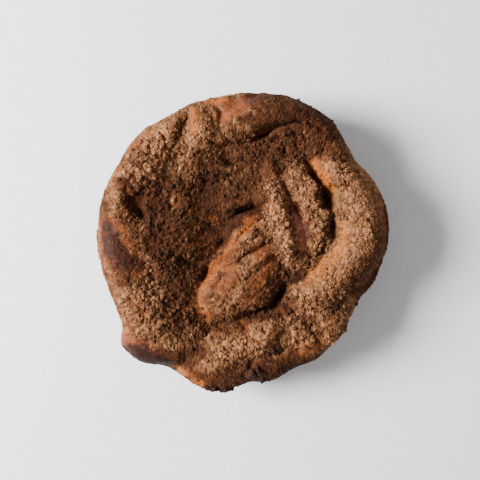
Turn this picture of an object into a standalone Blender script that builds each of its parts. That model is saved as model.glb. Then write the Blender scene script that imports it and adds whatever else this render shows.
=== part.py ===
"""A round apple babka: ropes of filled dough, laid over one another in a round pan and baked
into one loaf, with streusel crumbs baked onto its top. It is one solid, in metres, with +Z up
and its origin in the middle of the flat base."""

import math
from typing import NamedTuple

import bmesh
import bpy
import numpy as np
from mathutils import Vector
from mathutils.bvhtree import BVHTree

MM = 0.001

# Driving dimensions, in millimetres
PAN_RADIUS = 96.5  # the wall that the dough was pressed against
PAN_DRAFT = 3.0  # the wall is this much narrower at the base than at the pan's rim
PAN_HEIGHT = 38.0
SWELL_START = 15.0  # above this height the dough swells out past the pan's wall
LEAST_SWELL = 1.5
WIDEST_SHARE = 0.68  # the loaf is widest at this share of the height of its rim
BASE_ROUNDING = 5.0
EDGE_ROLL = 14.0  # the top rolls over into the side across this width
FLOOR = 40.0  # the dough between the ropes
BLEND = 1.3  # neighbouring ropes melt together over about this height

# The loaf's outline as it shows from above: the angle from +X in degrees, and the radius there.
# Each rope on the rim swells out, and the outline is pinched where two of them meet.
OUTLINE = (
    (0, 101.5), (12, 103.5), (25, 101), (35, 97), (45, 101.5), (55, 105.5), (65, 107), (78, 106.3),
    (90, 105.5), (103, 104.3), (118, 103.5), (133, 105.3), (147, 104.2), (160, 103.5), (175, 103.8),
    (188, 101.8), (198, 100), (207, 100.8), (214, 102.8), (218, 110.2), (221, 113.2), (227, 112),
    (234, 107), (240, 103.3), (247, 105.5), (258, 107), (265, 104.6), (272, 99.8), (281, 100),
    (291, 95.8), (303, 96.8), (315, 95.8), (325, 91.8), (335, 91.9), (345, 96.6), (353, 99),
)

# Grid of the solid: squares across the top, rings down the side
TOP_CELLS = 42
ROLL_RINGS = 3
WALL_RINGS = 3
FOOT_RINGS = 2

CRAG = 0.55  # random unevenness of the baked skin
SEED = 11

CRUMB_COUNT = 115
CRUMB_RADIUS = (1.7, 3.2)
CRUMB_RISE = 0.15  # share of its radius that a crumb's centre stands out of the skin
CRUMB_REACH = 96.0  # no crumbs are kept further out than this
CRUMB_DROP = 100.0  # crumbs are dropped from this height
CRUMB_MIN_UP = 0.5  # crumbs roll off anything steeper
CRUMB_SQUASH = (0.6, 0.95)
CORNER_STRETCH = (0.82, 1.15)  # a crumb's corners stand out unevenly
SPIRAL_JITTER = 1.0  # crumbs stray this far from their spiral
SPIRAL_TURN = 0.03  # and by this angle, in radians

DRIP_RADIUS = 3.4
DRIP_START = 200.0  # the skin is looked for from this far out
DRIPS = ((-104, 37), (-101, 41), (-98, 36), (-95, 33))  # burnt sugar: angle in degrees, height

CRUST_COLOUR = (0.235, 0.082, 0.030, 1.0)
CRUST_ROUGHNESS = 0.6


class Rope(NamedTuple):
    """A rope of dough, with stations (x, y, crest height, half width) along it in millimetres,
    and how far its flanks fall away from its crest."""

    name: str
    drop: float
    stations: tuple
    roundness: float = 0.5  # 0.5 is half an ellipse in section, 1 a low swell


class Crease(NamedTuple):
    """A fold's open seam: stations (x, y, depth, half width) along it in millimetres."""

    name: str
    stations: tuple


# Ropes round the rim, clockwise from the back, each lapping over the next
RIM_ROPES = (
    Rope("crown", 15, ((-6, 82, 59, 13), (4, 84, 60, 15), (16, 87, 61, 16), (37, 86, 60, 17),
                       (54, 76, 58, 17), (65, 63, 54, 16), (72, 48, 50, 14))),
    Rope("crown_back", 13, ((-34, 94, 50, 13), (-18, 96, 52, 14), (0, 97, 53, 14))),
    Rope("collar", 20, ((56, 54, 56, 11), (63, 47, 59, 15), (73, 35, 61, 19), (79, 15, 62, 20),
                        (77, -5, 61, 20), (64, -21, 60, 20), (50, -32, 58, 18), (41, -38, 55, 15))),
    Rope("front_rim", 14, ((74, -40, 50, 15), (65, -56, 52, 16), (52, -67, 52, 16), (34, -77, 51, 16),
                           (11, -87, 50, 17), (-9, -93, 48, 16), (-25, -97, 45, 12))),
    Rope("front_ridge", 14, ((-36, -86, 50, 12), (-20, -77, 55, 15), (0, -67, 58, 15), (17, -58, 58, 15),
                             (28, -52, 54, 12))),
    Rope("heel", 13, ((-84, -65, 47, 12), (-70, -72, 51, 15), (-54, -79, 51, 15), (-44, -84, 47, 12))),
    Rope("left_rim", 13, ((-92, 2, 52, 14), (-86, -10, 55, 17), (-79, -26, 56, 19), (-72, -42, 56, 20),
                          (-64, -56, 55, 20), (-56, -68, 51, 17))),
    Rope("left_nose", 13, ((-84, 37, 53, 10), (-84, 25, 54, 11), (-81, 12, 54, 12), (-75, 0, 53, 14))),
    Rope("shoulder", 14, ((-96, 14, 49, 10), (-89, 28, 54, 13), (-82, 42, 57, 15), (-71, 56, 57, 17),
                          (-58, 69, 57, 17), (-45, 81, 56, 16), (-29, 89, 54, 14))),
)

# Ropes that cross the middle, and the lower folds that they rest on
MIDDLE_ROPES = (
    Rope("back_twist", 13, ((-32, 88, 57, 9), (-29, 76, 59, 11), (-32, 62, 56, 13), (-37, 50, 51, 14),
                            (-42, 38, 46, 15))),
    Rope("back_twist_side", 9, ((-20, 89, 54, 8), (-19, 79, 55, 10), (-20, 67, 53, 12), (-22, 53, 50, 14)),
         0.9),
    Rope("valley_floor", 8, ((-54, 46, 49.5, 36), (-52, 26, 49, 36), (-52, 6, 49, 34), (-54, -14, 49, 32),
                             (-56, -34, 49, 30)), 1.5),
    Rope("inner_shoulder", 13, ((-66, 50, 54, 16), (-65, 36, 51, 18), (-64, 22, 48, 18), (-62, 10, 46, 18)),
         1.5),
    Rope("under_crown", 10, ((-20, 62, 49, 20), (1, 61, 50, 23), (24, 62, 50, 23), (46, 62, 50, 20)), 1.5),
    Rope("cheek", 8, ((-22, 35, 44, 14), (-8, 35, 46, 13.5), (8, 37, 48, 13), (18, 42, 49, 11))),
    Rope("pit_floor", 6, ((-81, 42, 53, 8), (-77, 33, 51, 8), (-73, 24, 48, 7)), 1.5),
    Rope("tongue", 15, ((17, 5, 55, 17), (9.5, -9.5, 58, 22), (2, -22, 59, 25), (-4, -32, 58, 25),
                        (-9, -38, 56, 22))),
    Rope("tongue_root", 12, ((15, 20, 54, 8), (7, 14, 55.5, 10), (0, 5, 56.5, 12)), 0.6),
    Rope("ridge_left", 13, ((18, 55, 51, 8), (19, 44, 54.5, 10), (20, 32, 59, 12), (23, 20, 59.5, 9.5),
                            (26, 8, 59.5, 8.5), (29, -3, 59, 8.5), (31, -13, 56.5, 7.5), (30, -25, 54, 6.5))),
    Rope("ridge_right", 12, ((33, 52, 53, 10), (41, 39, 57, 12), (47, 25, 58, 12), (51, 11, 58, 12),
                             (51, -2, 57, 11), (49, -12, 54, 10))),
    Rope("gully", 6, ((26, 48, 50, 10), (33, 31, 54, 11), (38, 12, 56.5, 12), (42, -8, 56, 12),
                      (40, -22, 54, 12))),
    Rope("left_slope", 12, ((-66, 20, 50, 34), (-62, -8, 51, 38), (-56, -34, 51, 38)), 1.5),
    Rope("front_slope", 12, ((-60, -54, 52, 32), (-44, -62, 50, 28), (-30, -66, 48, 22)), 1.5),
    Rope("front_flank", 9, ((-20, -88, 49, 12), (2, -78, 52, 12), (20, -70, 53, 12), (36, -62, 53.5, 13)),
         1.5),
    Rope("lap", 12, ((39, -48, 53, 20), (53, -54, 54, 22), (64, -52, 52, 19)), 1.5),
)

CREASES = (
    Crease("under_the_crown", ((-16, 67, 3, 3), (4, 70.5, 7, 3), (12, 73.5, 15, 3.5), (18, 76, 14, 3.5),
                               (26, 80, 9, 3), (36, 82, 6, 3), (52, 77, 3, 3))),
    Crease("inside_the_collar", ((43, 53, 3, 2.5), (49, 44, 13, 3.2), (54, 38, 6, 2.6), (58, 29, 15, 3.3),
                                 (60, 21, 7, 2.8), (61, 11, 15, 3.3), (58, 4, 6, 2.6), (55, -3, 11, 2.8),
                                 (51, -11, 3, 2.5))),
    Crease("pit", ((-80, 38, 2, 3), (-77, 32, 3, 3.5), (-74, 26, 5, 4), (-71, 20.5, 12, 3.8),
                   (-69, 14, 3, 3))),
    Crease("over_the_tongue", ((-5, 21, 4, 2.6), (5, 23, 14, 3), (11, 25.5, 12, 3), (16, 28, 4, 2.6))),
    Crease("behind_the_tongue", ((0, 15, 3, 2.5), (-14, -2, 4, 3), (-28, -24, 4, 3))),
    Crease("beside_the_tongue", ((30, -24, 2, 2.5), (28, -31, 6, 2.8), (25, -40, 12, 3.6), (19, -47, 12, 4.2),
                                 (8, -49, 9, 4), (-4, -54, 5, 3.5), (-18, -58, 3, 3))),
    Crease("beside_the_lap", ((42, -53, 3, 3), (48, -58, 6, 3.6), (51, -66, 3, 3))),
    Crease("left_of_the_twist", ((-47, 86, 4, 3), (-43, 78, 9, 3.5), (-47, 69, 5, 3), (-51, 58, 2, 3))),
    Crease("crown_gap", ((-25, 96, 3, 2.5), (-18, 91, 4, 2.5), (-16, 83, 3, 2.5))),
    Crease("valley_hole", ((-48, -8, 2, 3), (-41, -13, 5, 4), (-33, -16, 3, 3.5))),
    Crease("between_the_ridges", ((27, 40, 2, 2), (34, 28, 4, 2.2), (38, 23, 7, 3), (41, 13, 3, 2.5),
                                  (44, 0, 3, 2), (46, -12, 2, 2))),
    Crease("back_hole", ((-14, 59, 3, 2.2), (-8, 55, 8, 2.6), (-2, 54, 3, 1.6), (6, 55, 2, 1.2),
                         (14, 53, 1, 1.2))),
    Crease("back_crack", ((27, 68, 2, 1.4), (29, 63, 5, 1.8), (32, 58, 1, 1.4))),
    Crease("heel_seam", ((-96, -60, 5, 3), (-84, -58, 3, 3), (-74, -58, 1, 3))),
    Crease("front_seam", ((-52, -98, 8, 4), (-42, -84, 4, 3.5), (-28, -76, 2, 3))),
)

STEEPEST = 0.95  # share of a rope's half width where its flank is steepest; it goes on so from there
ROUTE_STEP = 1.5  # points along a rope are about this far apart


def smooth_route(stations):
    """Points about a step apart on a Catmull-Rom curve through the stations."""
    knots = np.array(stations, float)
    knots = np.vstack([2 * knots[0] - knots[1], knots, 2 * knots[-1] - knots[-2]])
    pieces = []
    for before, start, end, after in zip(knots, knots[1:], knots[2:], knots[3:]):
        count = max(2, round(np.linalg.norm(end[:2] - start[:2]) / ROUTE_STEP))
        t = np.linspace(0, 1, count, endpoint=False)[:, None]
        pieces.append(0.5 * (2 * start + (end - before) * t
                             + (2 * before - 5 * start + 4 * end - after) * t ** 2
                             + (3 * start - before - 3 * end + after) * t ** 3))
    return np.vstack(pieces + [knots[-2][None]])


def nearest_on_route(points, route):
    """For each (x, y): its offset from the route, signed by side, and the route's values there."""
    along = np.diff(route[:, :2], axis=0)
    gap = points[:, None, :] - route[None, :-1, :2]
    share = np.clip((gap * along).sum(axis=2) / (along ** 2).sum(axis=1), 0, 1)
    gap = gap - share[:, :, None] * along
    index = np.argmin((gap ** 2).sum(axis=2), axis=1)
    row = np.arange(len(points))
    gap, share = gap[row, index], share[row, index, None]
    side = np.sign(along[index, 0] * gap[:, 1] - along[index, 1] * gap[:, 0])
    values = route[index, 2:] * (1 - share) + route[index + 1, 2:] * share
    return np.hypot(gap[:, 0], gap[:, 1]) * side, values[:, 0], values[:, 1]


def flank(across, roundness):
    """How far a rope has fallen at a share of its half width, as a share of its drop: a rounded
    section, 1 - (1 - across^2)^roundness, that goes on straight down from its steepest place."""
    inner = 1 - np.minimum(across, STEEPEST) ** 2
    steepness = 2 * roundness * STEEPEST * (1 - STEEPEST ** 2) ** (roundness - 1)
    return 1 - inner ** roundness + steepness * np.maximum(across - STEEPEST, 0)


def relief(points):
    """The top's height at each (x, y): the ropes' sections melted together by a soft maximum,
    with the creases cut into them."""
    total = np.exp(np.full(len(points), FLOOR) / BLEND)
    for rope in RIM_ROPES + MIDDLE_ROPES:
        offset, crest, half_width = nearest_on_route(points, smooth_route(rope.stations))
        height = crest - rope.drop * flank(np.abs(offset) / half_width, rope.roundness)
        total += np.exp(height / BLEND)
    height = BLEND * np.log(total)
    for crease in CREASES:
        offset, depth, half_width = nearest_on_route(points, smooth_route(crease.stations))
        height = height - depth * np.exp(-(offset / half_width) ** 2)
    return height


def outline_radius(angle):
    """The radius of the outline at an angle, on a closed Catmull-Rom curve through its points."""
    knots = np.array(OUTLINE, float)
    turns = np.concatenate([knots[-2:, 0] - 360, knots[:, 0], knots[:3, 0] + 360])
    radii = np.concatenate([knots[-2:, 1], knots[:, 1], knots[:3, 1]])
    degrees = np.degrees(angle) % 360
    k = np.searchsorted(turns, degrees, side="right") - 1
    t = (degrees - turns[k]) / (turns[k + 1] - turns[k])
    before, start, end, after = (radii[k + shift] for shift in (-1, 0, 1, 2))
    return 0.5 * (2 * start + (end - before) * t + (2 * before - 5 * start + 4 * end - after) * t ** 2
                  + (3 * start - before - 3 * end + after) * t ** 3)


def disc_grid(cells):
    """Radius share and angle of each corner of a square grid wrapped onto a disc, ring by ring."""
    line = np.linspace(-1, 1, cells + 1)
    across, up = np.meshgrid(line, line)
    share = np.maximum(np.abs(across), np.abs(up))
    flat = np.abs(across) >= np.abs(up)
    with np.errstate(divide="ignore", invalid="ignore"):
        slant = np.where(flat, up / across, across / up)
    slant = np.nan_to_num(slant) * math.pi / 4
    angle = np.where(flat, slant + math.pi * (across < 0), math.pi / 2 - slant + math.pi * (up < 0))
    return share, angle


def side_rings(angle):
    """Rings of points from the top's edge over the roll, down the wall and round the foot. Over
    the roll the relief dies away with the cosine of the turn. Below it the swelling dies away to
    the pan's wall as 3s^2 - 2s^3."""
    outer = outline_radius(angle)
    heading = np.column_stack([np.cos(angle), np.sin(angle)])
    widest = WIDEST_SHARE * relief((outer - EDGE_ROLL)[:, None] * heading)
    rings = []
    for turn in np.linspace(0, math.pi / 2, ROLL_RINGS + 1)[1:]:
        reach = outer - EDGE_ROLL * (1 - math.sin(turn))
        rings.append((reach, widest + (relief(reach[:, None] * heading) - widest) * math.cos(turn)))
    for share in np.linspace(0, 1, WALL_RINGS + 1)[1:]:
        height = widest + (BASE_ROUNDING - widest) * share
        swell = np.clip((height - SWELL_START) / (widest - SWELL_START), 0, 1)
        swell = swell ** 2 * (3 - 2 * swell)
        wall = np.minimum(PAN_RADIUS - PAN_DRAFT * (1 - height / PAN_HEIGHT), outer - LEAST_SWELL)
        rings.append((wall + (outer - wall) * swell, height))
    wall = rings[-1][0]
    for turn in np.linspace(0, math.pi / 2, FOOT_RINGS + 1)[1:]:
        rings.append((wall - BASE_ROUNDING * (1 - math.cos(turn)),
                      np.full(len(outer), BASE_ROUNDING * (1 - math.sin(turn)))))
    return [np.column_stack([reach * np.cos(angle), reach * np.sin(angle), height])
            for reach, height in rings]


def make_loaf(rng):
    """The loaf: a grid over the top that follows the relief, rings down the side, a flat base."""
    share, angle = disc_grid(TOP_CELLS)
    reach = share * (outline_radius(angle) - EDGE_ROLL)
    top = np.column_stack([(reach * np.cos(angle)).ravel(), (reach * np.sin(angle)).ravel()])
    height = relief(top) + rng.normal(0, CRAG, len(top))
    top = np.column_stack([top, height])

    size = TOP_CELLS + 1
    index = np.arange(size * size).reshape(size, size)
    corners = [index[:-1, :-1], index[:-1, 1:], index[1:, 1:], index[1:, :-1]]
    faces = np.stack(corners, axis=-1).reshape(-1, 4).tolist()
    rim = np.concatenate([index[0, :-1], index[:-1, -1], index[-1, :0:-1], index[:0:-1, 0]])

    points = [top]
    ring, start = rim, len(top)
    for rows in side_rings(angle.ravel()[rim]):
        points.append(rows)
        below = start + np.arange(len(rim))
        faces += np.column_stack([ring, below, np.roll(below, -1), np.roll(ring, -1)]).tolist()
        ring, start = below, start + len(rim)
    faces.append(ring.tolist())
    return object_of("babka", (np.vstack(points) * MM).tolist(), faces)


def object_of(name, points, faces):
    """An object of these points and faces, with its faces turned outwards."""
    mesh = bpy.data.meshes.new(name)
    mesh.from_pydata(points, [], faces)
    shape = bmesh.new()
    shape.from_mesh(mesh)
    bmesh.ops.recalc_face_normals(shape, faces=shape.faces)
    shape.to_mesh(mesh)
    shape.free()
    obj = bpy.data.objects.new(name, mesh)
    bpy.context.scene.collection.objects.link(obj)
    return obj


def fuse(target, others):
    """Joins the others to the target with one Boolean union, applies it and removes them."""
    lumps = bpy.data.collections.new("lumps")
    bpy.context.scene.collection.children.link(lumps)
    for obj in others:
        bpy.context.scene.collection.objects.unlink(obj)
        lumps.objects.link(obj)
    union = target.modifiers.new("union", "BOOLEAN")
    union.operation = "UNION"
    union.operand_type = "COLLECTION"
    union.collection = lumps
    union.solver = "MANIFOLD"
    graph = bpy.context.evaluated_depsgraph_get()
    fused = bpy.data.meshes.new_from_object(target.evaluated_get(graph))
    target.modifiers.clear()
    target.data = fused
    for obj in others:
        bpy.data.objects.remove(obj)
    bpy.data.collections.remove(lumps)


def make_lump(name, centre, radius, squash, rng):
    """A crumb: an icosahedron with uneven corners, a little flattened."""
    shape = bmesh.new()
    bmesh.ops.create_icosphere(shape, subdivisions=1, radius=radius)
    for corner in shape.verts:
        corner.co *= rng.uniform(*CORNER_STRETCH)
        corner.co.z *= squash
        corner.co += Vector(centre)
    points = [corner.co * MM for corner in shape.verts]
    faces = [[corner.index for corner in face.verts] for face in shape.faces]
    shape.free()
    return object_of(name, points, faces)


def make_crumbs(loaf, rng):
    """Streusel crumbs over the top, on a sunflower's spiral so that they are spread evenly."""
    surface = BVHTree.FromObject(loaf, bpy.context.evaluated_depsgraph_get())
    golden_angle = math.pi * (3 - math.sqrt(5))
    crumbs = []
    for k in range(CRUMB_COUNT):
        reach = CRUMB_REACH * math.sqrt((k + 0.5) / CRUMB_COUNT) + rng.normal(0, SPIRAL_JITTER)
        angle = k * golden_angle + rng.normal(0, SPIRAL_TURN)
        above = Vector((reach * math.cos(angle), reach * math.sin(angle), CRUMB_DROP)) * MM
        hit, normal, _, _ = surface.ray_cast(above, Vector((0, 0, -1)))
        if hit is None or normal.z < CRUMB_MIN_UP:
            continue
        radius = rng.uniform(*CRUMB_RADIUS)
        centre = hit / MM + normal * radius * CRUMB_RISE
        crumbs.append(make_lump(f"crumb_{k}", centre, radius, rng.uniform(*CRUMB_SQUASH), rng))
    return crumbs


def make_drips(loaf, rng):
    """Burnt drops of filling that hang on the loaf's side."""
    surface = BVHTree.FromObject(loaf, bpy.context.evaluated_depsgraph_get())
    drips = []
    for k, (degrees, height) in enumerate(DRIPS):
        outward = Vector((math.cos(math.radians(degrees)), math.sin(math.radians(degrees)), 0))
        start = outward * DRIP_START + Vector((0, 0, height))
        hit, _, _, _ = surface.ray_cast(start * MM, -outward)
        drips.append(make_lump(f"drip_{k}", hit / MM, DRIP_RADIUS, 1.0, rng))
    return drips


def crust_material():
    """Baked dough, brown and dull."""
    material = bpy.data.materials.new("baked_crust")
    material.use_nodes = True
    shader = material.node_tree.nodes["Principled BSDF"]
    shader.inputs["Base Color"].default_value = CRUST_COLOUR
    shader.inputs["Roughness"].default_value = CRUST_ROUGHNESS
    shader.inputs["Metallic"].default_value = 0.0
    return material


def main():
    for obj in list(bpy.data.objects):
        bpy.data.objects.remove(obj)
    rng = np.random.default_rng(SEED)
    loaf = make_loaf(rng)
    fuse(loaf, make_crumbs(loaf, rng) + make_drips(loaf, rng))
    loaf.data.materials.clear()
    loaf.data.materials.append(crust_material())


main()
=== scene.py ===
"""A round apple babka: ropes of filled dough, lapped over one another and baked into one loaf,
with streusel crumbs baked onto its top.

The loaf's skin is a function of a radius share and an angle. It follows the ropes' sections, and
rises and falls with the crumbs that are baked into it. Loose crumbs of five kinds are strewn over
it by the area and the slope of its faces. All sizes in the classes are millimetres, apart from
those of the finishes' bumps and of the studio, which are metres.
"""

from __future__ import annotations

import itertools
import logging
import math
from dataclasses import dataclass
from enum import Enum

import bpy
import numpy as np
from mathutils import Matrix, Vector


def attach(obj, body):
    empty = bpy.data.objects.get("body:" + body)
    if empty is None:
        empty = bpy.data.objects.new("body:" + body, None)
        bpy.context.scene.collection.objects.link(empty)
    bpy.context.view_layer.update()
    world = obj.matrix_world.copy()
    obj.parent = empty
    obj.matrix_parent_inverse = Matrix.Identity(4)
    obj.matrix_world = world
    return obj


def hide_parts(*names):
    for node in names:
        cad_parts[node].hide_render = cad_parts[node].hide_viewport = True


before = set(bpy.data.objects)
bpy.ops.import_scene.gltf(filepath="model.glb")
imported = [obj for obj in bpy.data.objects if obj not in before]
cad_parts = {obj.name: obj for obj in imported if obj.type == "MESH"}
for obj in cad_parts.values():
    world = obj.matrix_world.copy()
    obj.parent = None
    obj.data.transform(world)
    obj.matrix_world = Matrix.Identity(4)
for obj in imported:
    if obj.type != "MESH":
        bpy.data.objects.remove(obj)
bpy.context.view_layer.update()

MM = 0.001
BODY = "root"
NODE = "babka"
SEED = 29

log = logging.getLogger("babka")

Array = np.ndarray
Pair = tuple[float, float]
Colour = tuple[float, float, float]
Place = tuple[float, float, float]
Sizes = tuple[float, float, float]
Socket = bpy.types.NodeSocket
Station = tuple[float, ...]
Stops = tuple[tuple[float, Colour], ...]


# Noise

LATTICE_PRIMES = (73856093, 19349663, 83492791)
SEED_FACTOR, SEED_SHIFT = 40503, 977
MIXERS = ((15, 2246822519), (13, 3266489917))
LAST_SHIFT = 16
WORD = 0xFFFFFFFF


def cell_random(cells: Array, seed: int) -> Array:
    """One random number for each cell of a lattice, from a hash that mixes the bits.

    Args:
        cells: Whole-numbered cells, one row of three each.
        seed: Another seed gives other numbers.

    Returns:
        Numbers from 0 to 1, one for each cell.
    """
    mixed = np.bitwise_xor.reduce(cells * np.array(LATTICE_PRIMES), axis=-1)
    mixed = (mixed ^ (seed * SEED_FACTOR + SEED_SHIFT)) & WORD
    for shift, factor in MIXERS:
        mixed = ((mixed ^ (mixed >> shift)) * factor) & WORD
    return (mixed ^ (mixed >> LAST_SHIFT)) / WORD


def soft_noise(points: Array, size: float, seed: int) -> Array:
    """Value noise: the lattice's random numbers, blended between corners by 6t^5 - 15t^4 + 10t^3.

    Args:
        points: Places, one row of three each.
        size: The lattice's pitch, in the unit of the places.
        seed: Another seed gives another pattern.

    Returns:
        Numbers from -1 to 1, one for each place.
    """
    scaled = points / size
    cell = np.floor(scaled).astype(np.int64)
    part = scaled - cell
    part = part ** 3 * (part * (part * 6 - 15) + 10)
    total = np.zeros(len(points))
    for corner in itertools.product((0, 1), repeat=3):
        weight = np.prod(np.where(np.array(corner, bool), part, 1 - part), axis=1)
        total += weight * cell_random(cell + np.array(corner), seed)
    return total * 2 - 1


@dataclass(frozen=True)
class Ripple:
    """Layered noise, with its coarsest pitch, its number of layers and its own seed."""

    size: float
    layers: int
    seed: int

    def at(self, points: Array) -> Array:
        """Soft noise summed over layers, each of half the size and half the height of the last.

        Args:
            points: Places, one row of three each.

        Returns:
            Numbers from about -1 to 1, one for each place.
        """
        heights = 0.5 ** np.arange(self.layers)
        noise = [soft_noise(points, self.size * height, SEED + self.seed + k)
                 for k, height in enumerate(heights)]
        return (heights[:, None] * np.array(noise)).sum(axis=0) / heights.sum()


RAGGED_EDGES = Ripple(7, 4, 0)
UNEVEN_LEVEL = Ripple(26, 2, 65)
WANDERING = (Ripple(15, 2, 80), Ripple(15, 2, 81))
CRACK_LINES = Ripple(10, 3, 90)
CRACKED_AREAS = Ripple(24, 2, 95)
SWELLS = Ripple(14, 4, 40)
WRINKLES = Ripple(3.6, 3, 50)
SIDE_BROWNING = Ripple(24, 4, 60)
TOP_BROWNING = Ripple(12, 4, 70)
BURNT_BUBBLES = Ripple(0.8, 4, 7)


def pebbles(points: Array, size: float, seed: int) -> tuple[Array, Array]:
    """Rounded lumps round one scattered centre in each cell: the height of each is
    the square root of 1 - (distance / reach)^2.

    Args:
        points: Places, one row of three each.
        size: The lumps' pitch.
        seed: Another seed gives other lumps.

    Returns:
        The height from 0 to 1 at each place, and a random number for the lump it is on.
    """
    reach, margin = 0.72, 0.15
    scaled = points / size
    cell = np.floor(scaled).astype(np.int64)
    nearest = np.full(len(points), np.inf)
    tag = np.zeros(len(points))
    for corner in itertools.product((-1, 0, 1), repeat=3):
        other = cell + np.array(corner)
        place = np.stack([cell_random(other, seed + k) for k in range(3)], axis=-1)
        gap = ((scaled - other - margin - (1 - 2 * margin) * place) ** 2).sum(axis=1)
        nearer = gap < nearest
        nearest = np.where(nearer, gap, nearest)
        tag = np.where(nearer, place[:, 0], tag)
    return np.sqrt(np.clip(1 - nearest / reach ** 2, 0, 1)), tag


def smooth_step(value: Array, low: float | Array, high: float | Array) -> Array:
    """The value taken from low to high onto 0 to 1 as 3t^2 - 2t^3, and held there beyond."""
    t = np.clip((value - low) / (high - low), 0, 1)
    return t * t * (3 - 2 * t)


def weighted(shares: tuple[float, ...], values: tuple[Array, ...]) -> Array:
    """The sum of the values, each times its share."""
    return sum(share * value for share, value in zip(shares, values))


def catmull_rom(before: Array, start: Array, end: Array, after: Array, t: Array) -> Array:
    """The Catmull-Rom cubic through start at 0 and end at 1, with the slopes its neighbours give."""
    return 0.5 * (2 * start + (end - before) * t + (2 * before - 5 * start + 4 * end - after) * t ** 2
                  + (3 * start - before - 3 * end + after) * t ** 3)


# The ropes' relief

@dataclass(frozen=True)
class Route:
    """A smooth curve seen from above, through stations of x, y and further values."""

    stations: tuple[Station, ...]
    step: float = 1.5

    def points(self) -> Array:
        """Points about a step apart on the Catmull-Rom curve through the stations."""
        knots = np.array(self.stations, float)
        knots = np.vstack([2 * knots[0] - knots[1], knots, 2 * knots[-1] - knots[-2]])
        pieces = []
        for four in zip(knots, knots[1:], knots[2:], knots[3:]):
            count = max(2, round(float(np.linalg.norm((four[2] - four[1])[:2])) / self.step))
            pieces.append(catmull_rom(*four, np.linspace(0, 1, count, endpoint=False)[:, None]))
        return np.vstack(pieces + [knots[-2][None]])

    def nearest(self, places: Array, reach: float) -> tuple[Array, Array, Array]:
        """The nearest point of the curve to each place that lies within reach of it.

        Args:
            places: Rows of x and y.
            reach: Places further than this outside the curve's box are left out.

        Returns:
            The rows that lie near, their offset from the curve, and the curve's further values
            at its nearest point.
        """
        route = self.points()
        low, high = route[:, :2].min(axis=0) - reach, route[:, :2].max(axis=0) + reach
        rows = np.flatnonzero(((places > low) & (places < high)).all(axis=1))
        along = np.diff(route[:, :2], axis=0)
        gap = places[rows, None, :] - route[None, :-1, :2]
        share = np.clip((gap * along).sum(axis=2) / (along ** 2).sum(axis=1), 0, 1)
        gap -= share[:, :, None] * along
        index = np.argmin((gap ** 2).sum(axis=2), axis=1)
        each = np.arange(len(rows))
        gap, share = gap[each, index], share[each, index, None]
        values = route[index, 2:] * (1 - share) + route[index + 1, 2:] * share
        return rows, np.hypot(gap[:, 0], gap[:, 1]), values


@dataclass(frozen=True)
class Rope:
    """A rope of dough, with stations of x, y, crest height and half width."""

    name: str
    drop: float
    stations: tuple[Station, ...]
    roundness: float = 0.5
    steepest: float = 0.95
    reach: float = 1.6
    nowhere: float = -99.0

    def flank(self, across: Array) -> Array:
        """How far the section has fallen, as a share of the drop: 1 - (1 - across^2)^roundness,
        which goes on straight from its steepest place.

        Args:
            across: Distance from the crest line as a share of the half width.

        Returns:
            The fall, 0 on the crest line and about 1 at the half width.
        """
        inner = 1 - np.minimum(across, self.steepest) ** 2
        slope = 2 * self.roundness * self.steepest * (1 - self.steepest ** 2) ** (self.roundness - 1)
        return 1 - inner ** self.roundness + slope * np.maximum(across - self.steepest, 0)

    def height(self, places: Array) -> Array:
        """The rope's height: its crest's, less its drop times the flank's fall there.

        Args:
            places: Rows of x and y.

        Returns:
            The height at each place, far down where the rope isn't.
        """
        reach = self.reach * max(station[3] for station in self.stations)
        rows, offset, values = Route(self.stations).nearest(places, reach)
        crest, half_width = values.T
        height = np.full(len(places), self.nowhere)
        height[rows] = crest - self.drop * self.flank(offset / half_width)
        return height


@dataclass(frozen=True)
class Crease:
    """A fold's open seam, with stations of x, y, depth and half width. A depth below zero is a
    low ridge."""

    name: str
    stations: tuple[Station, ...]
    reach: float = 15.0

    def depth(self, places: Array) -> Array:
        """The seam's depth times exp(-(offset / half width)^2).

        Args:
            places: Rows of x and y.

        Returns:
            The depth cut at each place.
        """
        rows, offset, values = Route(self.stations).nearest(places, self.reach)
        depth = np.zeros(len(places))
        depth[rows] = values[:, 0] * np.exp(-(offset / values[:, 1]) ** 2)
        return depth


RIM_ROPES = (
    Rope("crown", 15, ((-6, 82, 59, 13), (4, 84, 60, 15), (16, 87, 61, 16), (37, 86, 60, 17),
                       (54, 76, 58, 17), (65, 63, 54, 16), (72, 48, 50, 14))),
    Rope("crown_back", 13, ((-34, 94, 50, 13), (-18, 96, 52, 14), (0, 97, 53, 14))),
    Rope("collar", 20, ((56, 54, 56, 11), (63, 47, 59, 15), (73, 35, 61, 19), (79, 15, 62, 20),
                        (77, -5, 61, 20), (64, -21, 60, 20), (50, -32, 58, 18), (41, -38, 55, 15))),
    Rope("front_rim", 14, ((74, -40, 50, 15), (65, -56, 52, 16), (52, -67, 52, 16), (34, -77, 51, 16),
                           (11, -87, 50, 17), (-9, -93, 48, 16), (-25, -97, 45, 12))),
    Rope("front_ridge", 14, ((-36, -86, 50, 12), (-20, -77, 55, 15), (0, -67, 58, 15), (17, -58, 58, 15),
                             (28, -52, 54, 12))),
    Rope("heel", 13, ((-84, -65, 47, 12), (-70, -72, 51, 15), (-54, -79, 51, 15), (-44, -84, 47, 12))),
    Rope("left_rim", 13, ((-92, 2, 52, 14), (-86, -10, 55, 17), (-79, -26, 56, 19), (-72, -42, 56, 20),
                          (-64, -56, 55, 20), (-56, -68, 51, 17))),
    Rope("left_nose", 13, ((-84, 37, 53, 10), (-84, 25, 54, 11), (-81, 12, 54, 12), (-75, 0, 53, 14))),
    Rope("shoulder", 14, ((-96, 14, 49, 10), (-89, 28, 54, 13), (-82, 42, 57, 15), (-71, 56, 57, 17),
                          (-58, 69, 57, 17), (-45, 81, 56, 16), (-29, 89, 54, 14))),
)

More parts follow.
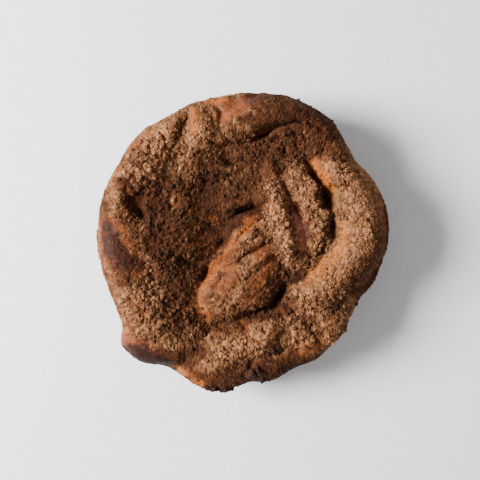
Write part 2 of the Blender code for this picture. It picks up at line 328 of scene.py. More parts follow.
MIDDLE_ROPES = (
    Rope("back_twist", 13, ((-32, 88, 57, 9), (-29, 76, 59, 11), (-32, 62, 56, 13), (-37, 50, 51, 14),
                            (-42, 38, 46, 15))),
    Rope("back_twist_side", 9, ((-20, 89, 54, 8), (-19, 79, 55, 10), (-20, 67, 53, 12), (-22, 53, 50, 14)),
         0.9),
    Rope("valley_floor", 8, ((-54, 46, 49.5, 36), (-52, 26, 49, 36), (-52, 6, 49, 34), (-54, -14, 49, 32),
                             (-56, -34, 49, 30)), 1.5),
    Rope("inner_shoulder", 13, ((-66, 50, 54, 16), (-65, 36, 51, 18), (-64, 22, 48, 18), (-62, 10, 46, 18)),
         1.5),
    Rope("under_crown", 10, ((-20, 62, 49, 20), (1, 61, 50, 23), (24, 62, 50, 23), (46, 62, 50, 20)), 1.5),
    Rope("cheek", 8, ((-22, 35, 44, 14), (-8, 35, 46, 13.5), (8, 37, 48, 13), (18, 42, 49, 11))),
    Rope("pit_floor", 6, ((-81, 42, 53, 8), (-77, 33, 51, 8), (-73, 24, 48, 7)), 1.5),
    Rope("tongue", 15, ((17, 5, 55, 17), (9.5, -9.5, 58, 22), (2, -22, 59, 25), (-4, -32, 58, 25),
                        (-9, -38, 56, 22)), 0.5),
    Rope("tongue_root", 12, ((15, 20, 54, 8), (7, 14, 55.5, 10), (0, 5, 56.5, 12)), 0.6),
    Rope("ridge_left", 13, ((18, 55, 51, 8), (19, 44, 54.5, 10), (20, 32, 59, 12), (23, 20, 59.5, 9.5),
                            (26, 8, 59.5, 8.5), (29, -3, 59, 8.5), (31, -13, 56.5, 7.5), (30, -25, 54, 6.5))),
    Rope("ridge_right", 12, ((33, 52, 53, 10), (41, 39, 57, 12), (47, 25, 58, 12), (51, 11, 58, 12),
                             (51, -2, 57, 11), (49, -12, 54, 10))),
    Rope("gully", 6, ((26, 48, 50, 10), (33, 31, 54, 11), (38, 12, 56.5, 12), (42, -8, 56, 12),
                      (40, -22, 54, 12))),
    Rope("left_slope", 12, ((-66, 20, 50, 34), (-62, -8, 51, 38), (-56, -34, 51, 38)), 1.5),
    Rope("front_slope", 12, ((-60, -54, 52, 32), (-44, -62, 50, 28), (-30, -66, 48, 22)), 1.5),
    Rope("front_flank", 9, ((-20, -88, 49, 12), (2, -78, 52, 12), (20, -70, 53, 12), (36, -62, 53.5, 13)),
         1.5),
    Rope("lap", 12, ((39, -48, 53, 20), (53, -54, 54, 22), (64, -52, 52, 19)), 1.5),
)

CREASES = (
    Crease("under_the_crown", ((-16, 67, 2, 1.8), (-6, 68, 3, 1.8), (4, 70.5, 6, 1.9), (11, 73, 14, 2.3),
                               (17, 75, 16, 2.4), (22, 78, 9, 2), (28, 80.5, 6, 1.9), (36, 82, 5, 1.9),
                               (45, 81, 4, 1.9), (54, 76, 2, 1.8))),
    Crease("inside_the_collar", ((43, 53, 2, 2), (49, 44, 9, 2.6), (54, 38, 3, 1.8), (58, 29, 10, 2.8),
                                 (60, 21, 3, 1.8), (61, 11, 8, 2.2), (58, 4, 2, 1.8), (55, -3, 7, 2.1),
                                 (52, -10, 2, 2))),
    Crease("lump_on_the_tongue", ((13, 12, -3, 3), (17, 9, -3, 3))),
    Crease("lump_in_the_crevice", ((48, 36, -5, 2.6), (56, 38, -5, 2.6))),
    Crease("lumps_below_it", ((57, 20, -5, 3), (65, 19, -4, 3))),
    Crease("lumps_at_the_collar", ((54, 4, -4, 2.4), (62, 2, -2, 2.4))),
    Crease("pit", ((-80, 38, 1, 3), (-77, 32, 1.5, 3), (-73, 25, 2.5, 3), (-70, 20, 9.5, 2.6),
                   (-68, 15, 2, 2.4))),
    Crease("over_the_tongue", ((-5, 19.5, 3, 2), (-1, 21, 9, 2.3), (5, 22.5, 14, 2.6), (11, 24, 14, 2.5),
                               (15, 26, 7, 2.2), (18, 29, 2, 2))),
    Crease("behind_the_tongue", ((0, 15, 3, 2.5), (-14, -2, 4, 3), (-28, -24, 4, 3))),
    Crease("beside_the_tongue", ((28, -14, 1, 1.8), (30.5, -20, 5, 2), (29.5, -25, 4, 2),
                                 (28, -31, 5, 2.4), (25, -40, 9, 3), (19, -47, 9, 3.4),
                                 (8, -49, 8, 3), (-3, -53, 4, 3), (-18, -58, 2, 3))),
    Crease("beside_the_lap", ((42, -53, 2, 3), (48, -58, 5, 3.4), (51, -66, 2, 3))),
    Crease("left_of_the_twist", ((-38, 88, 3, 2.2), (-41, 80, 6, 2.8), (-44, 74, 5, 2.8), (-48, 67, 2, 2.5),
                                 (-51, 60, 1, 2))),
    Crease("crown_gap", ((-25, 96, 1, 2), (-18, 91, 2.2, 1.8), (-16, 83, 1.0, 1.8), (-16, 75, 0.5, 1.8))),
    Crease("valley_hole", ((-48, -8, 2, 3), (-41, -13, 5, 4), (-33, -16, 3, 3.5))),
    Crease("between_the_ridges", ((27, 40, 1, 2), (34, 28, 2, 2.2), (38, 23, 5, 2.6), (41, 13, 1, 2.5),
                                  (44, 0, 1, 2), (46, -12, 1, 2))),
    Crease("back_hole", ((-14, 59, 3, 2.2), (-8, 55, 8, 2.6), (-2, 54, 3, 1.6), (6, 55, 2, 1.2),
                         (14, 53, 1, 1.2))),
    Crease("back_crack", ((27, 68, 2, 1.4), (29, 63, 5, 1.8), (32, 58, 1, 1.4))),
    Crease("heel_seam", ((-96, -60, 5, 3), (-84, -58, 3, 3), (-74, -58, 1, 3))),
    Crease("front_seam", ((-52, -98, 8, 4), (-42, -85, 4, 3.5), (-36, -79, 1, 3), (-28, -76, 2, 3))),
    Crease("lump_in_the_front_seam", ((-43, -78, -3, 4), (-39, -75, -3, 4))),
    Crease("tongue_groove_left", ((10, 14, 1.0, 1.6), (0, 6, 2.2, 2.0), (-6, -4, 1.6, 1.8),
                                  (-14, -13, 0.8, 1.6))),
    Crease("tongue_groove_middle", ((17, 0, 3.2, 1.8), (10, -5, 3.2, 1.8), (2, -9, 2.2, 1.6),
                                    (-5, -14, 1.8, 1.6), (-16, -20, 0.8, 1.6))),
    Crease("tongue_groove_right", ((23, -9, 0.9, 2.0), (13, -17, 1.2, 2.0), (3, -25, 1.2, 2.0),
                                   (-9, -33, 0.8, 1.8))),
    Crease("tongue_groove_low", ((25, -22, 0.7, 2.2), (15, -31, 0.8, 2.2), (4, -39, 0.8, 2.2))),
    Crease("tongue_fold_left", ((16, 6, -1.2, 2.2), (5, -2, -1.6, 2.0), (-3, -10, -1.2, 2.0),
                                (-13, -17, -0.8, 2.2))),
    Crease("tongue_fold_right", ((24, -3, -1.2, 2.2), (14, -10, -1.6, 2.2), (5, -17, -1.6, 2.2),
                                 (-8, -26, -1.0, 2.2))),
)

# Where the crust is bare, golden, burnt or heaped with crumbs, and where its crumbs are darker or paler,
# partly their own tone and partly painted shade and painted light

class Look(Enum):
    """What a patch of the top does to the crust there."""

    BARE = "smooth skin with few crumbs"
    GOLDEN = "little browned"
    DARK = "burnt"
    HEAPED = "thick with coarse crumbs"
    # darkens the crumbs: partly crumbs darkened by the filling's juice, partly painted shade in hollows, in
    # creases and on slopes turned from the key light
    SOAKED = "crumbs that have drawn up the filling's juice"
    # lightens the crumbs: partly drier crumbs, partly painted light on slopes turned from the key light
    PALE = "crumbs that have stayed dry"


# For each look its patches, each with its strength and its stations of x, y and half width
LOOK_ROWS = {
    Look.BARE: (
        (0.95, (-16, 86, 5), (-8, 91, 6), (2, 95, 6)),
        (0.5, (6, 96, 9), (28, 95, 10), (50, 85, 9), (61, 73, 6)), (0.8, (-26, 97, 5), (-10, 98, 5)),
        (0.75, (-34, 91, 3.5), (-33, 76, 3)),
        (0.45, (-62, 80, 4), (-74, 68, 4), (-83, 55, 4), (-90, 40, 4)),
        (0.5, (-81, 40, 4), (-77, 34, 5), (-73, 26, 4)), (0.9, (-96, 11, 7), (-90, -2, 10), (-83, -13, 9)),
        (0.7, (-87, 9, 6), (-80, -6, 8), (-76, -18, 7)), (0.4, (-99, -13, 4), (-93, -30, 4), (-87, -48, 4)),
        (1.0, (-90, -64, 7), (-80, -70, 6)),
        (1.0, (-84, -69, 7), (-74, -75.5, 9), (-62, -80, 9), (-52, -84, 7)),
        (0.45, (-33, -95, 9), (-9, -93, 9), (13, -88, 9), (34, -82, 8)),
        (0.7, (-6, -92, 4), (4, -91, 5), (12, -87, 5), (18, -82, 4)),
        (0.7, (5, 13, 4), (-9, -4, 4), (-23, -22, 5), (-31, -38, 5), (-27, -50, 5)),
        (0.7, (-20, -14, 4), (-6, -20, 5), (-14, -32, 5)),
        (0.65, (8, -4, 5), (16, -14, 6), (12, -26, 6), (4, -36, 5)),
        (0.4, (14, -4, 5), (22, -14, 6), (24, -28, 5)), (0.3, (-17, 29, 6), (-2, 31, 6), (9, 34, 5)),
        (0.6, (15, 49, 5), (22, 45, 6), (28, 40, 4)), (0.6, (2, 15, 4), (7, 18, 4), (11, 21, 4)),
        (0.94, (35, 25, 5), (39, 11, 6.5), (40, -1, 5)), (0.75, (49, 54, 4), (54, 45, 5), (60, 36, 3)),
        (0.65, (69, 12, 4), (65, -5, 5), (55, -16, 6), (45, -26, 5)),
        (0.65, (98, 22, 5), (98, 4, 7), (93, -17, 7), (84, -32, 6)),
        (0.5, (58, -54, 4), (61, -60, 4), (58, -66, 4)), (0.8, (-46, -89, 5), (-40, -93, 5), (-31, -99, 5)),
        (0.5, (34, -78, 6), (52, -72, 6)), (0.25, (-44, 30, 6), (-34, 24, 6)),
        (0.35, (-38, 2, 7), (-28, 0, 6)), (0.45, (-24, 17, 2.5), (-19, 15, 2.5)),
    ),
    Look.GOLDEN: (
        (0.8, (-27, 98, 5), (-12, 99, 4)), (0.5, (-34, 91, 4), (-33, 76, 3.5)),
        (0.35, (-60, 80, 6), (-74, 68, 5), (-83, 55, 5), (-90, 40, 5)),
        (0.3, (-101, -10, 4), (-96, -30, 4), (-90, -46, 4), (-84, -58, 4)),
        (0.6, (-1, -10, 3), (8, -4, 3.5), (15, 1, 3)),
        (0.35, (5, 13, 4), (-12, -7, 4), (-26, -26, 4), (-32, -40, 5)),
        (0.5, (35, 25, 5), (39, 11, 6.5), (40, -1, 5)), (0.8, (50, 53, 5), (55, 44, 5), (61, 35, 4)),
        (0.9, (69, 14, 6), (65, -5, 8), (56, -16, 8), (50, -22, 7)),
        (0.8, (58, -52, 6), (61, -60, 7), (58, -68, 6)), (0.8, (-47, -90, 5), (-41, -94, 5), (-31, -99, 5)),
        (0.6, (-24, 17, 2.5), (-19, 15, 2.5)),
    ),
    Look.DARK: (
        (0.9, (9, 98, 7), (30, 97, 9), (50, 87, 9), (63, 72, 7)),
        (0.8, (8, 87, 7), (30, 87, 8), (52, 76, 8)), (0.45, (-81, 40, 6), (-77, 33, 7), (-72, 22, 6)),
        (0.8, (-94, 8, 7), (-88, -4, 9), (-80, -16, 9)),
        (1.1, (-80, -79, 8), (-66, -82, 11), (-54, -85, 8)),
        (0.95, (-14, -96, 10), (6, -90, 11), (26, -84, 10)), (0.8, (2, -84, 5), (10, -82, 6), (18, -79, 4)),
        (1.0, (-6, -92, 5), (4, -91, 6), (12, -87, 5)), (0.5, (-17, 29, 7), (-2, 31, 8), (9, 34, 7)),
        (0.75, (15, 48, 6), (22, 45, 7), (28, 39, 5)), (0.9, (-6, 21, 4), (2, 22, 5), (12, 24, 4)),
        (0.55, (35, 25, 6), (39, 11, 8), (40, -1, 6)), (0.35, (96, 2, 6), (88, -18, 8), (78, -34, 7)),
        # this patch darkens the crust along the crease beside the tongue, where shade falls: painted shade
        (0.8, (27, -17, 3), (30, -20, 4), (34, -25, 4), (39, -22, 4)),
    ),
    Look.HEAPED: (
        (1.0, (-80, 38, 12), (-66, 52, 16), (-52, 64, 15), (-42, 72, 8)),
        (0.8, (-60, 46, 12), (-44, 46, 14), (-38, 62, 12)),
        (1.0, (18, 36, 9), (21, 24, 10), (27, 6, 9), (32, -6, 9)),
        (1.0, (33, 52, 9), (42, 37, 10), (48, 20, 10), (50, 0, 9), (48, -14, 8)),
        (0.9, (-4, 4, 6), (6, 8, 7), (16, 8, 7)), (0.9, (30, -38, 11), (44, -46, 13), (58, -44, 11)),
        (0.7, (29, -12, 6), (28, -26, 6), (22, -42, 7), (8, -50, 7)),
        (0.7, (-70, -10, 12), (-62, -34, 14), (-52, -54, 14), (-36, -62, 12)),
        (0.8, (40, -70, 9), (56, -62, 9), (65, -50, 7)), (0.4, (0, 64, 9), (22, 68, 10), (44, 64, 10)),
        (0.5, (-56, 20, 18), (-48, -6, 20), (-44, -30, 18), (-36, -54, 12)),
        (0.45, (-26, -76, 8), (-4, -68, 9), (14, -60, 9)), (0.5, (-26, 44, 10), (-10, 42, 11), (8, 46, 10)),
    ),
    # darker crumbs: juice-darkened crumbs and painted shade, in hollows, in creases and on shaded slopes
    Look.SOAKED: (
        (0.9, (-81, 40, 6), (-77, 33, 7), (-72, 22, 7)), (1.3, (2, 15, 5), (7, 18, 5), (11, 21, 5)),
        (0.7, (14, 5, 4), (19, 0, 5), (22, -4, 4)),
        (1.4, (-8, 20, 4), (2, 22, 6), (10, 27, 7), (12, 32, 6)),
        (1.1, (-63, 34, 12), (-58, 18, 15), (-50, 6, 17), (-46, -12, 21), (-44, -32, 14)),
        (1.0, (-36, 46, 12), (-34, 24, 14), (-30, 4, 14), (-34, -18, 14)),
        (1.6, (0, 16, 5), (-8, 13, 7), (-15, 6, 7), (-20, -6, 6)), (1.4, (-16, -8, 4), (-26, -21, 5)),
        (1.2, (24, 54, 7), (32, 60, 6)), (1.0, (22, -46, 5), (8, -50, 6), (-4, -54, 4)),
        (0.7, (-50, -44, 10), (-40, -60, 9), (-32, -69, 7)), (1.0, (-86, -12, 8), (-80, -24, 7)),
        (0.6, (-84, 14, 6), (-79, 2, 7)), (1.2, (-58, -78, 5), (-48, -80, 7), (-38, -80, 7), (-28, -76, 5)),
        (0.8, (42, -6, 5), (41, -14, 5)), (1.9, (27, -17, 3.5), (30, -20, 4), (33, -25, 4), (38, -22, 4)),
        (1.4, (5, -50, 5), (14, -50, 5), (22, -49, 5), (29, -46, 5)),
        (1.0, (83, -10, 4), (79, -19, 5), (76, -28, 4)), (1.5, (-25, 50, 6), (-23, 30, 7), (-22, 12, 6)),
        (1.4, (-53, 42, 6), (-62, 31, 6), (-63, 18, 7), (-62, 4, 8), (-60, -8, 6)),
        (0.5, (-8, 74, 4), (0, 74, 5), (8, 76, 5)), (1.0, (1, 83, 5), (10, 83, 6)),
        (0.6, (31, -22, 4), (31, -34, 5), (25, -46, 6)),
        (1.15, (10, 78, 5), (24, 82, 9), (40, 83, 9), (54, 75, 8)),
        (0.8, (51, 46, 5), (54, 34, 5), (56, 24, 4)), (0.9, (44, -54, 5), (50, -60, 5), (51, -66, 4)),
        (0.9, (-26, 50, 14), (-16, 20, 16), (-30, 0, 16)),
        (0.95, (-10, 58, 10), (14, 62, 13), (38, 66, 12), (56, 66, 8)),
        (0.7, (18, -38, 8), (8, -48, 9), (-16, -56, 9), (-34, -56, 9)),
        (0.7, (98, 12, 7), (94, -14, 10), (82, -34, 9)), (0.3, (-60, 50, 4), (-52, 62, 4), (-46, 76, 4)),
        (0.9, (6, 103, 7), (26, 101, 8), (44, 93, 8), (60, 80, 6)),
        (1.0, (-18, 42, 12), (-2, 44, 12), (8, 44, 10)), (1.0, (-20, 29, 7), (-2, 31, 8), (9, 34, 7)),
        (0.9, (14, 89, 7), (24, 90, 10), (38, 88, 10), (56, 75, 9), (68, 60, 6)),
        (0.45, (20, -10, 7), (14, -26, 9), (4, -40, 7)), (0.35, (-2, -6, 7), (-14, -22, 9), (-20, -40, 8)),
        (0.5, (54, -40, 7), (62, -45, 7), (68, -44, 6)),
        (1.0, (-38, -98, 7), (-10, -96, 11), (14, -90, 12), (38, -84, 10)),
        (0.25, (-84, 62, 7), (-72, 50, 9), (-66, 40, 7)),
        (0.4, (-98, -22, 4), (-93, -36, 4), (-88, -50, 4)), (0.7, (-96, 26, 4), (-96, 16, 4)),
    ),
    # paler crumbs: drier crumbs, and painted light on slopes that face away from the key light
    Look.PALE: (
        (0.8, (56, -54, 7), (60, -62, 7)),
        (1.0, (59, 56, 9), (68, 50, 11), (76, 34, 13), (79, 14, 14), (73, -8, 14), (58, -26, 13),
         (42, -36, 10)), (1.5, (-26, -84, 6), (-6, -71, 8), (12, -60, 8), (27, -52, 7)),
        (1.7, (66, 66, 6), (81, 54, 8), (94, 34, 9)), (1.2, (98, 16, 6), (98, 0, 6), (90, -18, 6)),
        (0.8, (70, 18, 5), (69, 6, 5), (66, -5, 4)), (0.8, (-25, 88, 4), (-23, 80, 5), (-22, 74, 4)),
        (0.2, (36, -44, 5), (40, -52, 6)), (0.7, (36, -60, 7), (46, -60, 7)),
        (0.8, (46, -49, 5), (54, -49, 5)), (1.5, (74, -40, 6), (71, -54, 7), (61, -67, 7)),
        (1.4, (-58, 72, 9), (-50, 60, 10), (-54, 49, 9), (-74, 48, 8)),
        (1.3, (19, 34, 9), (24, 18, 9), (30, 0, 8)), (0.4, (40, 38, 6), (45, 22, 6), (47, 2, 6)),
        (0.6, (-84, -28, 7), (-78, -40, 8), (-70, -54, 8)), (0.8, (-31, 84, 7), (-30, 66, 7)),
        (1.4, (-33, 56, 6), (-38, 46, 6)), (0.8, (-12, 62, 6), (-11, 44, 6)),
        (1.0, (-86, 44, 5), (-85, 32, 4)), (1.0, (34, 54, 4), (39, 50, 4)),
    ),
}

@dataclass(frozen=True)
class Patch:
    """A stretch of the top with one look, with stations of x, y and half width."""

    strength: float
    stations: tuple[Station, ...]
    reach: float = 2.5
    raggedness: float = 0.7
    fade: Pair = (-0.4, 0.5)

    def amount(self, places: Array, ragged: Array) -> Array:
        """How strongly the patch shows: a smooth step of 1 - offset / half width, with noise.

        Args:
            places: Rows of x and y.
            ragged: Noise from -1 to 1 at each place, which makes the patch's edge ragged.

        Returns:
            Numbers from 0 to the patch's strength.
        """
        reach = self.reach * max(station[2] for station in self.stations)
        rows, offset, values = Route(self.stations).nearest(places, reach)
        within = 1 - offset / values[:, 0] + self.raggedness * ragged[rows]
        amount = np.zeros(len(places))
        amount[rows] = self.strength * smooth_step(within, *self.fade)
        return amount


def look_amount(look: Look, places: Array, ragged: Array) -> Array:
    """The strongest of all patches with this look, at each place."""
    patches = [Patch(strength, tuple(stations)) for strength, *stations in LOOK_ROWS[look]]
    return np.max([patch.amount(places, ragged) for patch in patches], axis=0)


# Meshes

def grid_faces(index: Array) -> Array:
    """Four-cornered faces between the rows and columns of an array of point numbers."""
    corners = [index[:-1, :-1], index[:-1, 1:], index[1:, 1:], index[1:, :-1]]
    return np.stack(corners, axis=-1).reshape(-1, 4)


def place_points(mesh: bpy.types.Mesh, points: Array) -> None:
    """Puts a mesh's points at these rows of x, y and z in millimetres."""
    mesh.vertices.foreach_set("co", (points * MM).astype(np.float32).ravel())


def make_object(name: str, points: Array, faces: list[Array]) -> bpy.types.Object:
    """A smooth-shaded object of these points and faces.

    Args:
        name: The piece's name.
        points: Rows of x, y and z in millimetres.
        faces: Arrays of faces, each array with faces of one number of corners.

    Returns:
        The object, at the origin.
    """
    mesh = bpy.data.meshes.new(name)
    corners = np.concatenate([part.ravel() for part in faces]).astype(np.int32)
    totals = np.concatenate([np.full(len(part), part.shape[1]) for part in faces]).astype(np.int32)
    mesh.vertices.add(len(points))
    place_points(mesh, points)
    mesh.loops.add(len(corners))
    mesh.loops.foreach_set("vertex_index", corners)
    mesh.polygons.add(len(totals))
    mesh.polygons.foreach_set("loop_start", np.concatenate([[0], np.cumsum(totals)[:-1]]).astype(np.int32))
    mesh.polygons.foreach_set("use_smooth", np.ones(len(totals), bool))
    mesh.update(calc_edges=True)
    return add_object(name, mesh)


def add_object(name: str, data: bpy.types.ID) -> bpy.types.Object:
    """An object of this mesh, light or camera, in the scene."""
    thing = bpy.data.objects.new(name, data)
    bpy.context.scene.collection.objects.link(thing)
    return thing


def paint(piece: bpy.types.Object, name: str, values: Array) -> None:
    """Stores one number for each point of a piece, for its material to read."""
    attribute = piece.data.attributes.new(name, "FLOAT", "POINT")
    attribute.data.foreach_set("value", values.astype(np.float32))


def point_normals(piece: bpy.types.Object) -> Array:
    """The direction that a piece's surface faces at each point, as rows of x, y and z."""
    normals = np.zeros(len(piece.data.vertices) * 3, np.float32)
    piece.data.vertex_normals.foreach_get("vector", normals)
    return normals.reshape(-1, 3).astype(float)


def repeated_faces(faces: Array, corners: int, count: int) -> Array:
    """The faces of one shape with this many corners, repeated for a row of such shapes."""
    return (faces[None] + (np.arange(count) * corners)[:, None, None]).reshape(-1, faces.shape[1])


def mount(piece: bpy.types.Object, material: bpy.types.Material) -> None:
    """Dresses a piece, puts it on the part's one body and reports it."""
    piece.data.materials.append(material)
    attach(piece, BODY)
    log.info("%s: %d faces", piece.name, len(piece.data.polygons))


@dataclass
class Skin:
    """The loaf's finished surface as arrays, for the crumbs to be strewn on."""

    points: Array
    normals: Array
    quads: Array
    cover: Array
    dusting: Array
    heaped: Array
    tone: Array


@dataclass
class Loaf:
    """The baked loaf: its outline, its relief and the skin over them.

    The outline is knots of an angle in degrees and a radius. A pair is the two ends of a change,
    unless a comment says otherwise. Three shares are those of lumps, crumbs and grains.
    """

    floor: float = 40.0
    blend: float = 1.3
    edge_roll: float = 14.0
    widest_share: float = 0.68
    pan_radius: float = 96.5
    pan_draft: float = 3.0
    pan_height: float = 38.0
    swell_start: float = 15.0
    least_swell: float = 1.5
    base_rounding: float = 5.0
    top_cells: int = 260
    roll_rings: int = 12
    wall_rings: int = 11
    foot_rings: int = 3
    wander: float = 1.5
    outline: tuple[Pair, ...] = (
        (0, 101.5), (12, 103.5), (25, 101), (35, 97), (45, 101.5), (55, 105.5), (65, 107), (78, 106.3),
        (90, 105.5), (103, 104.3), (118, 103.5), (133, 105.3), (147, 104.2), (160, 103.5), (175, 103.8),
        (188, 101.8), (198, 100), (207, 100.8), (214, 102.8), (218, 110.2), (221, 113.2), (227, 112),
        (234, 107), (240, 103.3), (247, 105.5), (258, 107), (265, 104.6), (272, 99.8), (281, 100),
        (291, 95.8), (303, 96.8), (315, 95.8), (325, 91.8), (335, 91.9), (345, 96.6), (353, 99),
    )

    # the crumbs' hold on the skin, with the fine and the broad noise on the height of their edge,
    # the noise on the slope for crumbs and for dust, and the dust that bare and the barest skin loses
    edge_noise: Pair = (8.0, 9.0)
    crumbs_above: Pair = (22, 40)
    crumbs_hold: Pair = (0.12, 0.5)
    dust_holds: Pair = (-0.1, 0.45)
    hold_noise: Pair = (0.15, 0.3)
    least_held: float = 0.3
    dust_lost: Pair = (0.8, 0.2)
    barest: Pair = (0.7, 0.9)

    # the skin's own rise and fall, and what a crack takes from crumbs and dust and adds to the darkening of
    # the hollows, which is darker dough and painted shade
    pebble_sizes: Sizes = (4.6, 2.5, 1.5)
    heap_rise: Sizes = (1.0, 0.5, 0.0)
    crumb_rise: Sizes = (0.0, 0.75, 0.45)
    bare_rise: Sizes = (0.0, 0.15, 0.3)
    filling: Sizes = (0.0, 0.65, 0.35)
    settling: float = 0.75
    crack_width: float = 0.07
    crack_depth: float = 1.8
    crack_bares: float = 0.7
    crack_loses: float = 0.5
    crack_dough_and_shade: float = 1.5
    cracks_in: Pair = (-0.05, 0.3)
    unevenness: float = 1.6
    wrinkle_height: float = 0.35
    wrinkle_stretch: Sizes = (1, 1, 0.5)
    foot_band: Pair = (4, 12)

    # the crumbs' colour: their own random tones, darkened in the juice-darkened patches by juice and painted
    # shade, lightened in the pale patches by drier crumbs and painted light
    shade_shares: Sizes = (0.2, 0.45, 0.35)
    soaked_and_shaded_evenness: float = 0.35
    pale_and_lit_tone: float = 0.16
    soaked_and_shaded_tone: float = 0.41

    # the baking, with the level of the side's and the top's and the noise on it
    golden_above: Pair = (30, 42)
    dark_above: Pair = (16, 34)
    top_above: Pair = (28, 46)
    pan_below: Pair = (24, 46)
    side_bake: Pair = (0.54, 0.22)
    side_stretch: Sizes = (1, 1, 2)
    top_bake: Pair = (0.44, 0.24)
    golden_bake: float = 0.12
    dark_bake: float = 0.92
    base_bake: float = 0.62
    base_height: float = 2.5
    washed_from: Pair = (0.86, 0.94)
    dark_dulls: float = 0.8

    def outline_radius(self, angle: Array) -> Array:
        """The outline's radius at each angle, on a closed Catmull-Rom curve through its knots."""
        knots = np.array(self.outline, float)
        turns = np.concatenate([knots[-2:, 0] - 360, knots[:, 0], knots[:3, 0] + 360])
        radii = np.concatenate([knots[-2:, 1], knots[:, 1], knots[:3, 1]])
        degrees = np.degrees(angle) % 360
        k = np.searchsorted(turns, degrees, side="right") - 1
        share = (degrees - turns[k]) / (turns[k + 1] - turns[k])
        return catmull_rom(radii[k - 1], radii[k], radii[k + 1], radii[k + 2], share)

    def relief(self, places: Array) -> Array:
        """The top's height: a soft maximum of the ropes, log of the sum of exp(height / blend)
        times blend, less the creases' depths. Noise makes the ropes' lines wander a little.

        Args:
            places: Rows of x and y.

        Returns:
            The height at each place.
        """
        level = np.column_stack([places, np.zeros(len(places))])
        places = places + self.wander * np.column_stack([ripple.at(level) for ripple in WANDERING])
        total = np.full(len(places), math.exp(self.floor / self.blend))
        for rope in RIM_ROPES + MIDDLE_ROPES:
            total += np.exp(rope.height(places) / self.blend)
        height = self.blend * np.log(total)
        return height - sum(crease.depth(places) for crease in CREASES)

    def top(self) -> tuple[Array, Array, Array]:
        """The top's points, on a square grid that is wrapped onto the disc ring by ring.

        Returns:
            The points' x and y, the grid's point numbers, and the angle of each point.
        """
        line = np.linspace(-1, 1, self.top_cells + 1)
        across, up = np.meshgrid(line, line)
        share = np.maximum(np.abs(across), np.abs(up))
        flat = np.abs(across) >= np.abs(up)
        with np.errstate(divide="ignore", invalid="ignore"):
            slant = np.where(flat, up / across, across / up)
        slant = np.nan_to_num(slant) * math.pi / 4
        angle = np.where(flat, slant + math.pi * (across < 0), math.pi / 2 - slant + math.pi * (up < 0))
        reach = share * (self.outline_radius(angle) - self.edge_roll)
        places = np.column_stack([(reach * np.cos(angle)).ravel(), (reach * np.sin(angle)).ravel()])
        index = np.arange(share.size).reshape(share.shape)
        return places, index, angle.ravel()

    def side(self, angle: Array) -> list[Array]:
        """Rings of points over the roll, down the wall and round the foot. Over the roll the
        relief dies away with the cosine of the turn, and down the wall the swelling dies away
        as 3s^2 - 2s^3.

        Args:
            angle: The angle of each point of a ring.

        Returns:
            Rows of x, y and z for each ring, from the top downwards.
        """
        outer = self.outline_radius(angle)
        heading = np.column_stack([np.cos(angle), np.sin(angle)])
        widest = self.widest_share * self.relief((outer - self.edge_roll)[:, None] * heading)
        rings = []
        for turn in np.linspace(0, math.pi / 2, self.roll_rings + 1)[1:]:
            reach = outer - self.edge_roll * (1 - math.sin(turn))
            height = self.relief(reach[:, None] * heading)
            rings.append((reach, widest + (height - widest) * math.cos(turn)))
        for share in np.linspace(0, 1, self.wall_rings + 1)[1:]:
            height = widest + (self.base_rounding - widest) * share
            wall = self.pan_radius - self.pan_draft * (1 - height / self.pan_height)
            wall = np.minimum(wall, outer - self.least_swell)
            rings.append((wall + (outer - wall) * smooth_step(height, self.swell_start, widest), height))
        wall = rings[-1][0]
        for turn in np.linspace(0, math.pi / 2, self.foot_rings + 1)[1:]:
            rings.append((wall - self.base_rounding * (1 - math.cos(turn)),
                          np.full(len(outer), self.base_rounding * (1 - math.sin(turn)))))
        return [np.column_stack([reach[:, None] * heading, height]) for reach, height in rings]

    def shape(self) -> tuple[Array, Array, Array]:
        """The smooth loaf: the top's grid, the side's rings below its rim, and the flat base.

        Returns:
            The points, the four-cornered faces, and the base as one face.
        """
        places, index, angle = self.top()
        rim = np.concatenate([index[0, :-1], index[:-1, -1], index[-1, :0:-1], index[:0:-1, 0]])
        rings = self.side(angle[rim])
        points = np.vstack([np.column_stack([places, self.relief(places)])] + rings)
        below = len(places) + np.arange(len(rings) * len(rim)).reshape(len(rings), -1)
        side = np.vstack([rim, below])
        side = np.column_stack([side, side[:, 0]])
        return points, np.vstack([grid_faces(index), grid_faces(side.T)]), below[-1][None, ::-1]

    def covering(self, upward: Array, upright: Array, ragged: Array, bare: Array) -> tuple[Array, Array]:
        """How thick the crumbs and the fine dusting lie: less on slopes and on bare patches.

        Args:
            upward: How far the skin faces up at each point, from -1 to 1.
            upright: How far each point is above the loaf's side, from 0 to 1.
            ragged: Noise from -1 to 1.
            bare: How bare each point is, from 0 to 1.

        Returns:
            The cover of crumbs and of dusting at each point, from 0 to 1.
        """
        slope = smooth_step(upward + self.hold_noise[0] * ragged, *self.crumbs_hold)
        facing = smooth_step(upward + self.hold_noise[1] * ragged, *self.dust_holds)
        held = 1 - self.least_held
        cover = np.clip(upright * (1 - bare) * (self.least_held + held * slope), 0, 1)
        lost = weighted(self.dust_lost, (bare, smooth_step(bare, *self.barest)))
        dusting = np.clip(upright * (1 - lost), 0, 1)
        return cover, dusting * (self.least_held + held * facing)

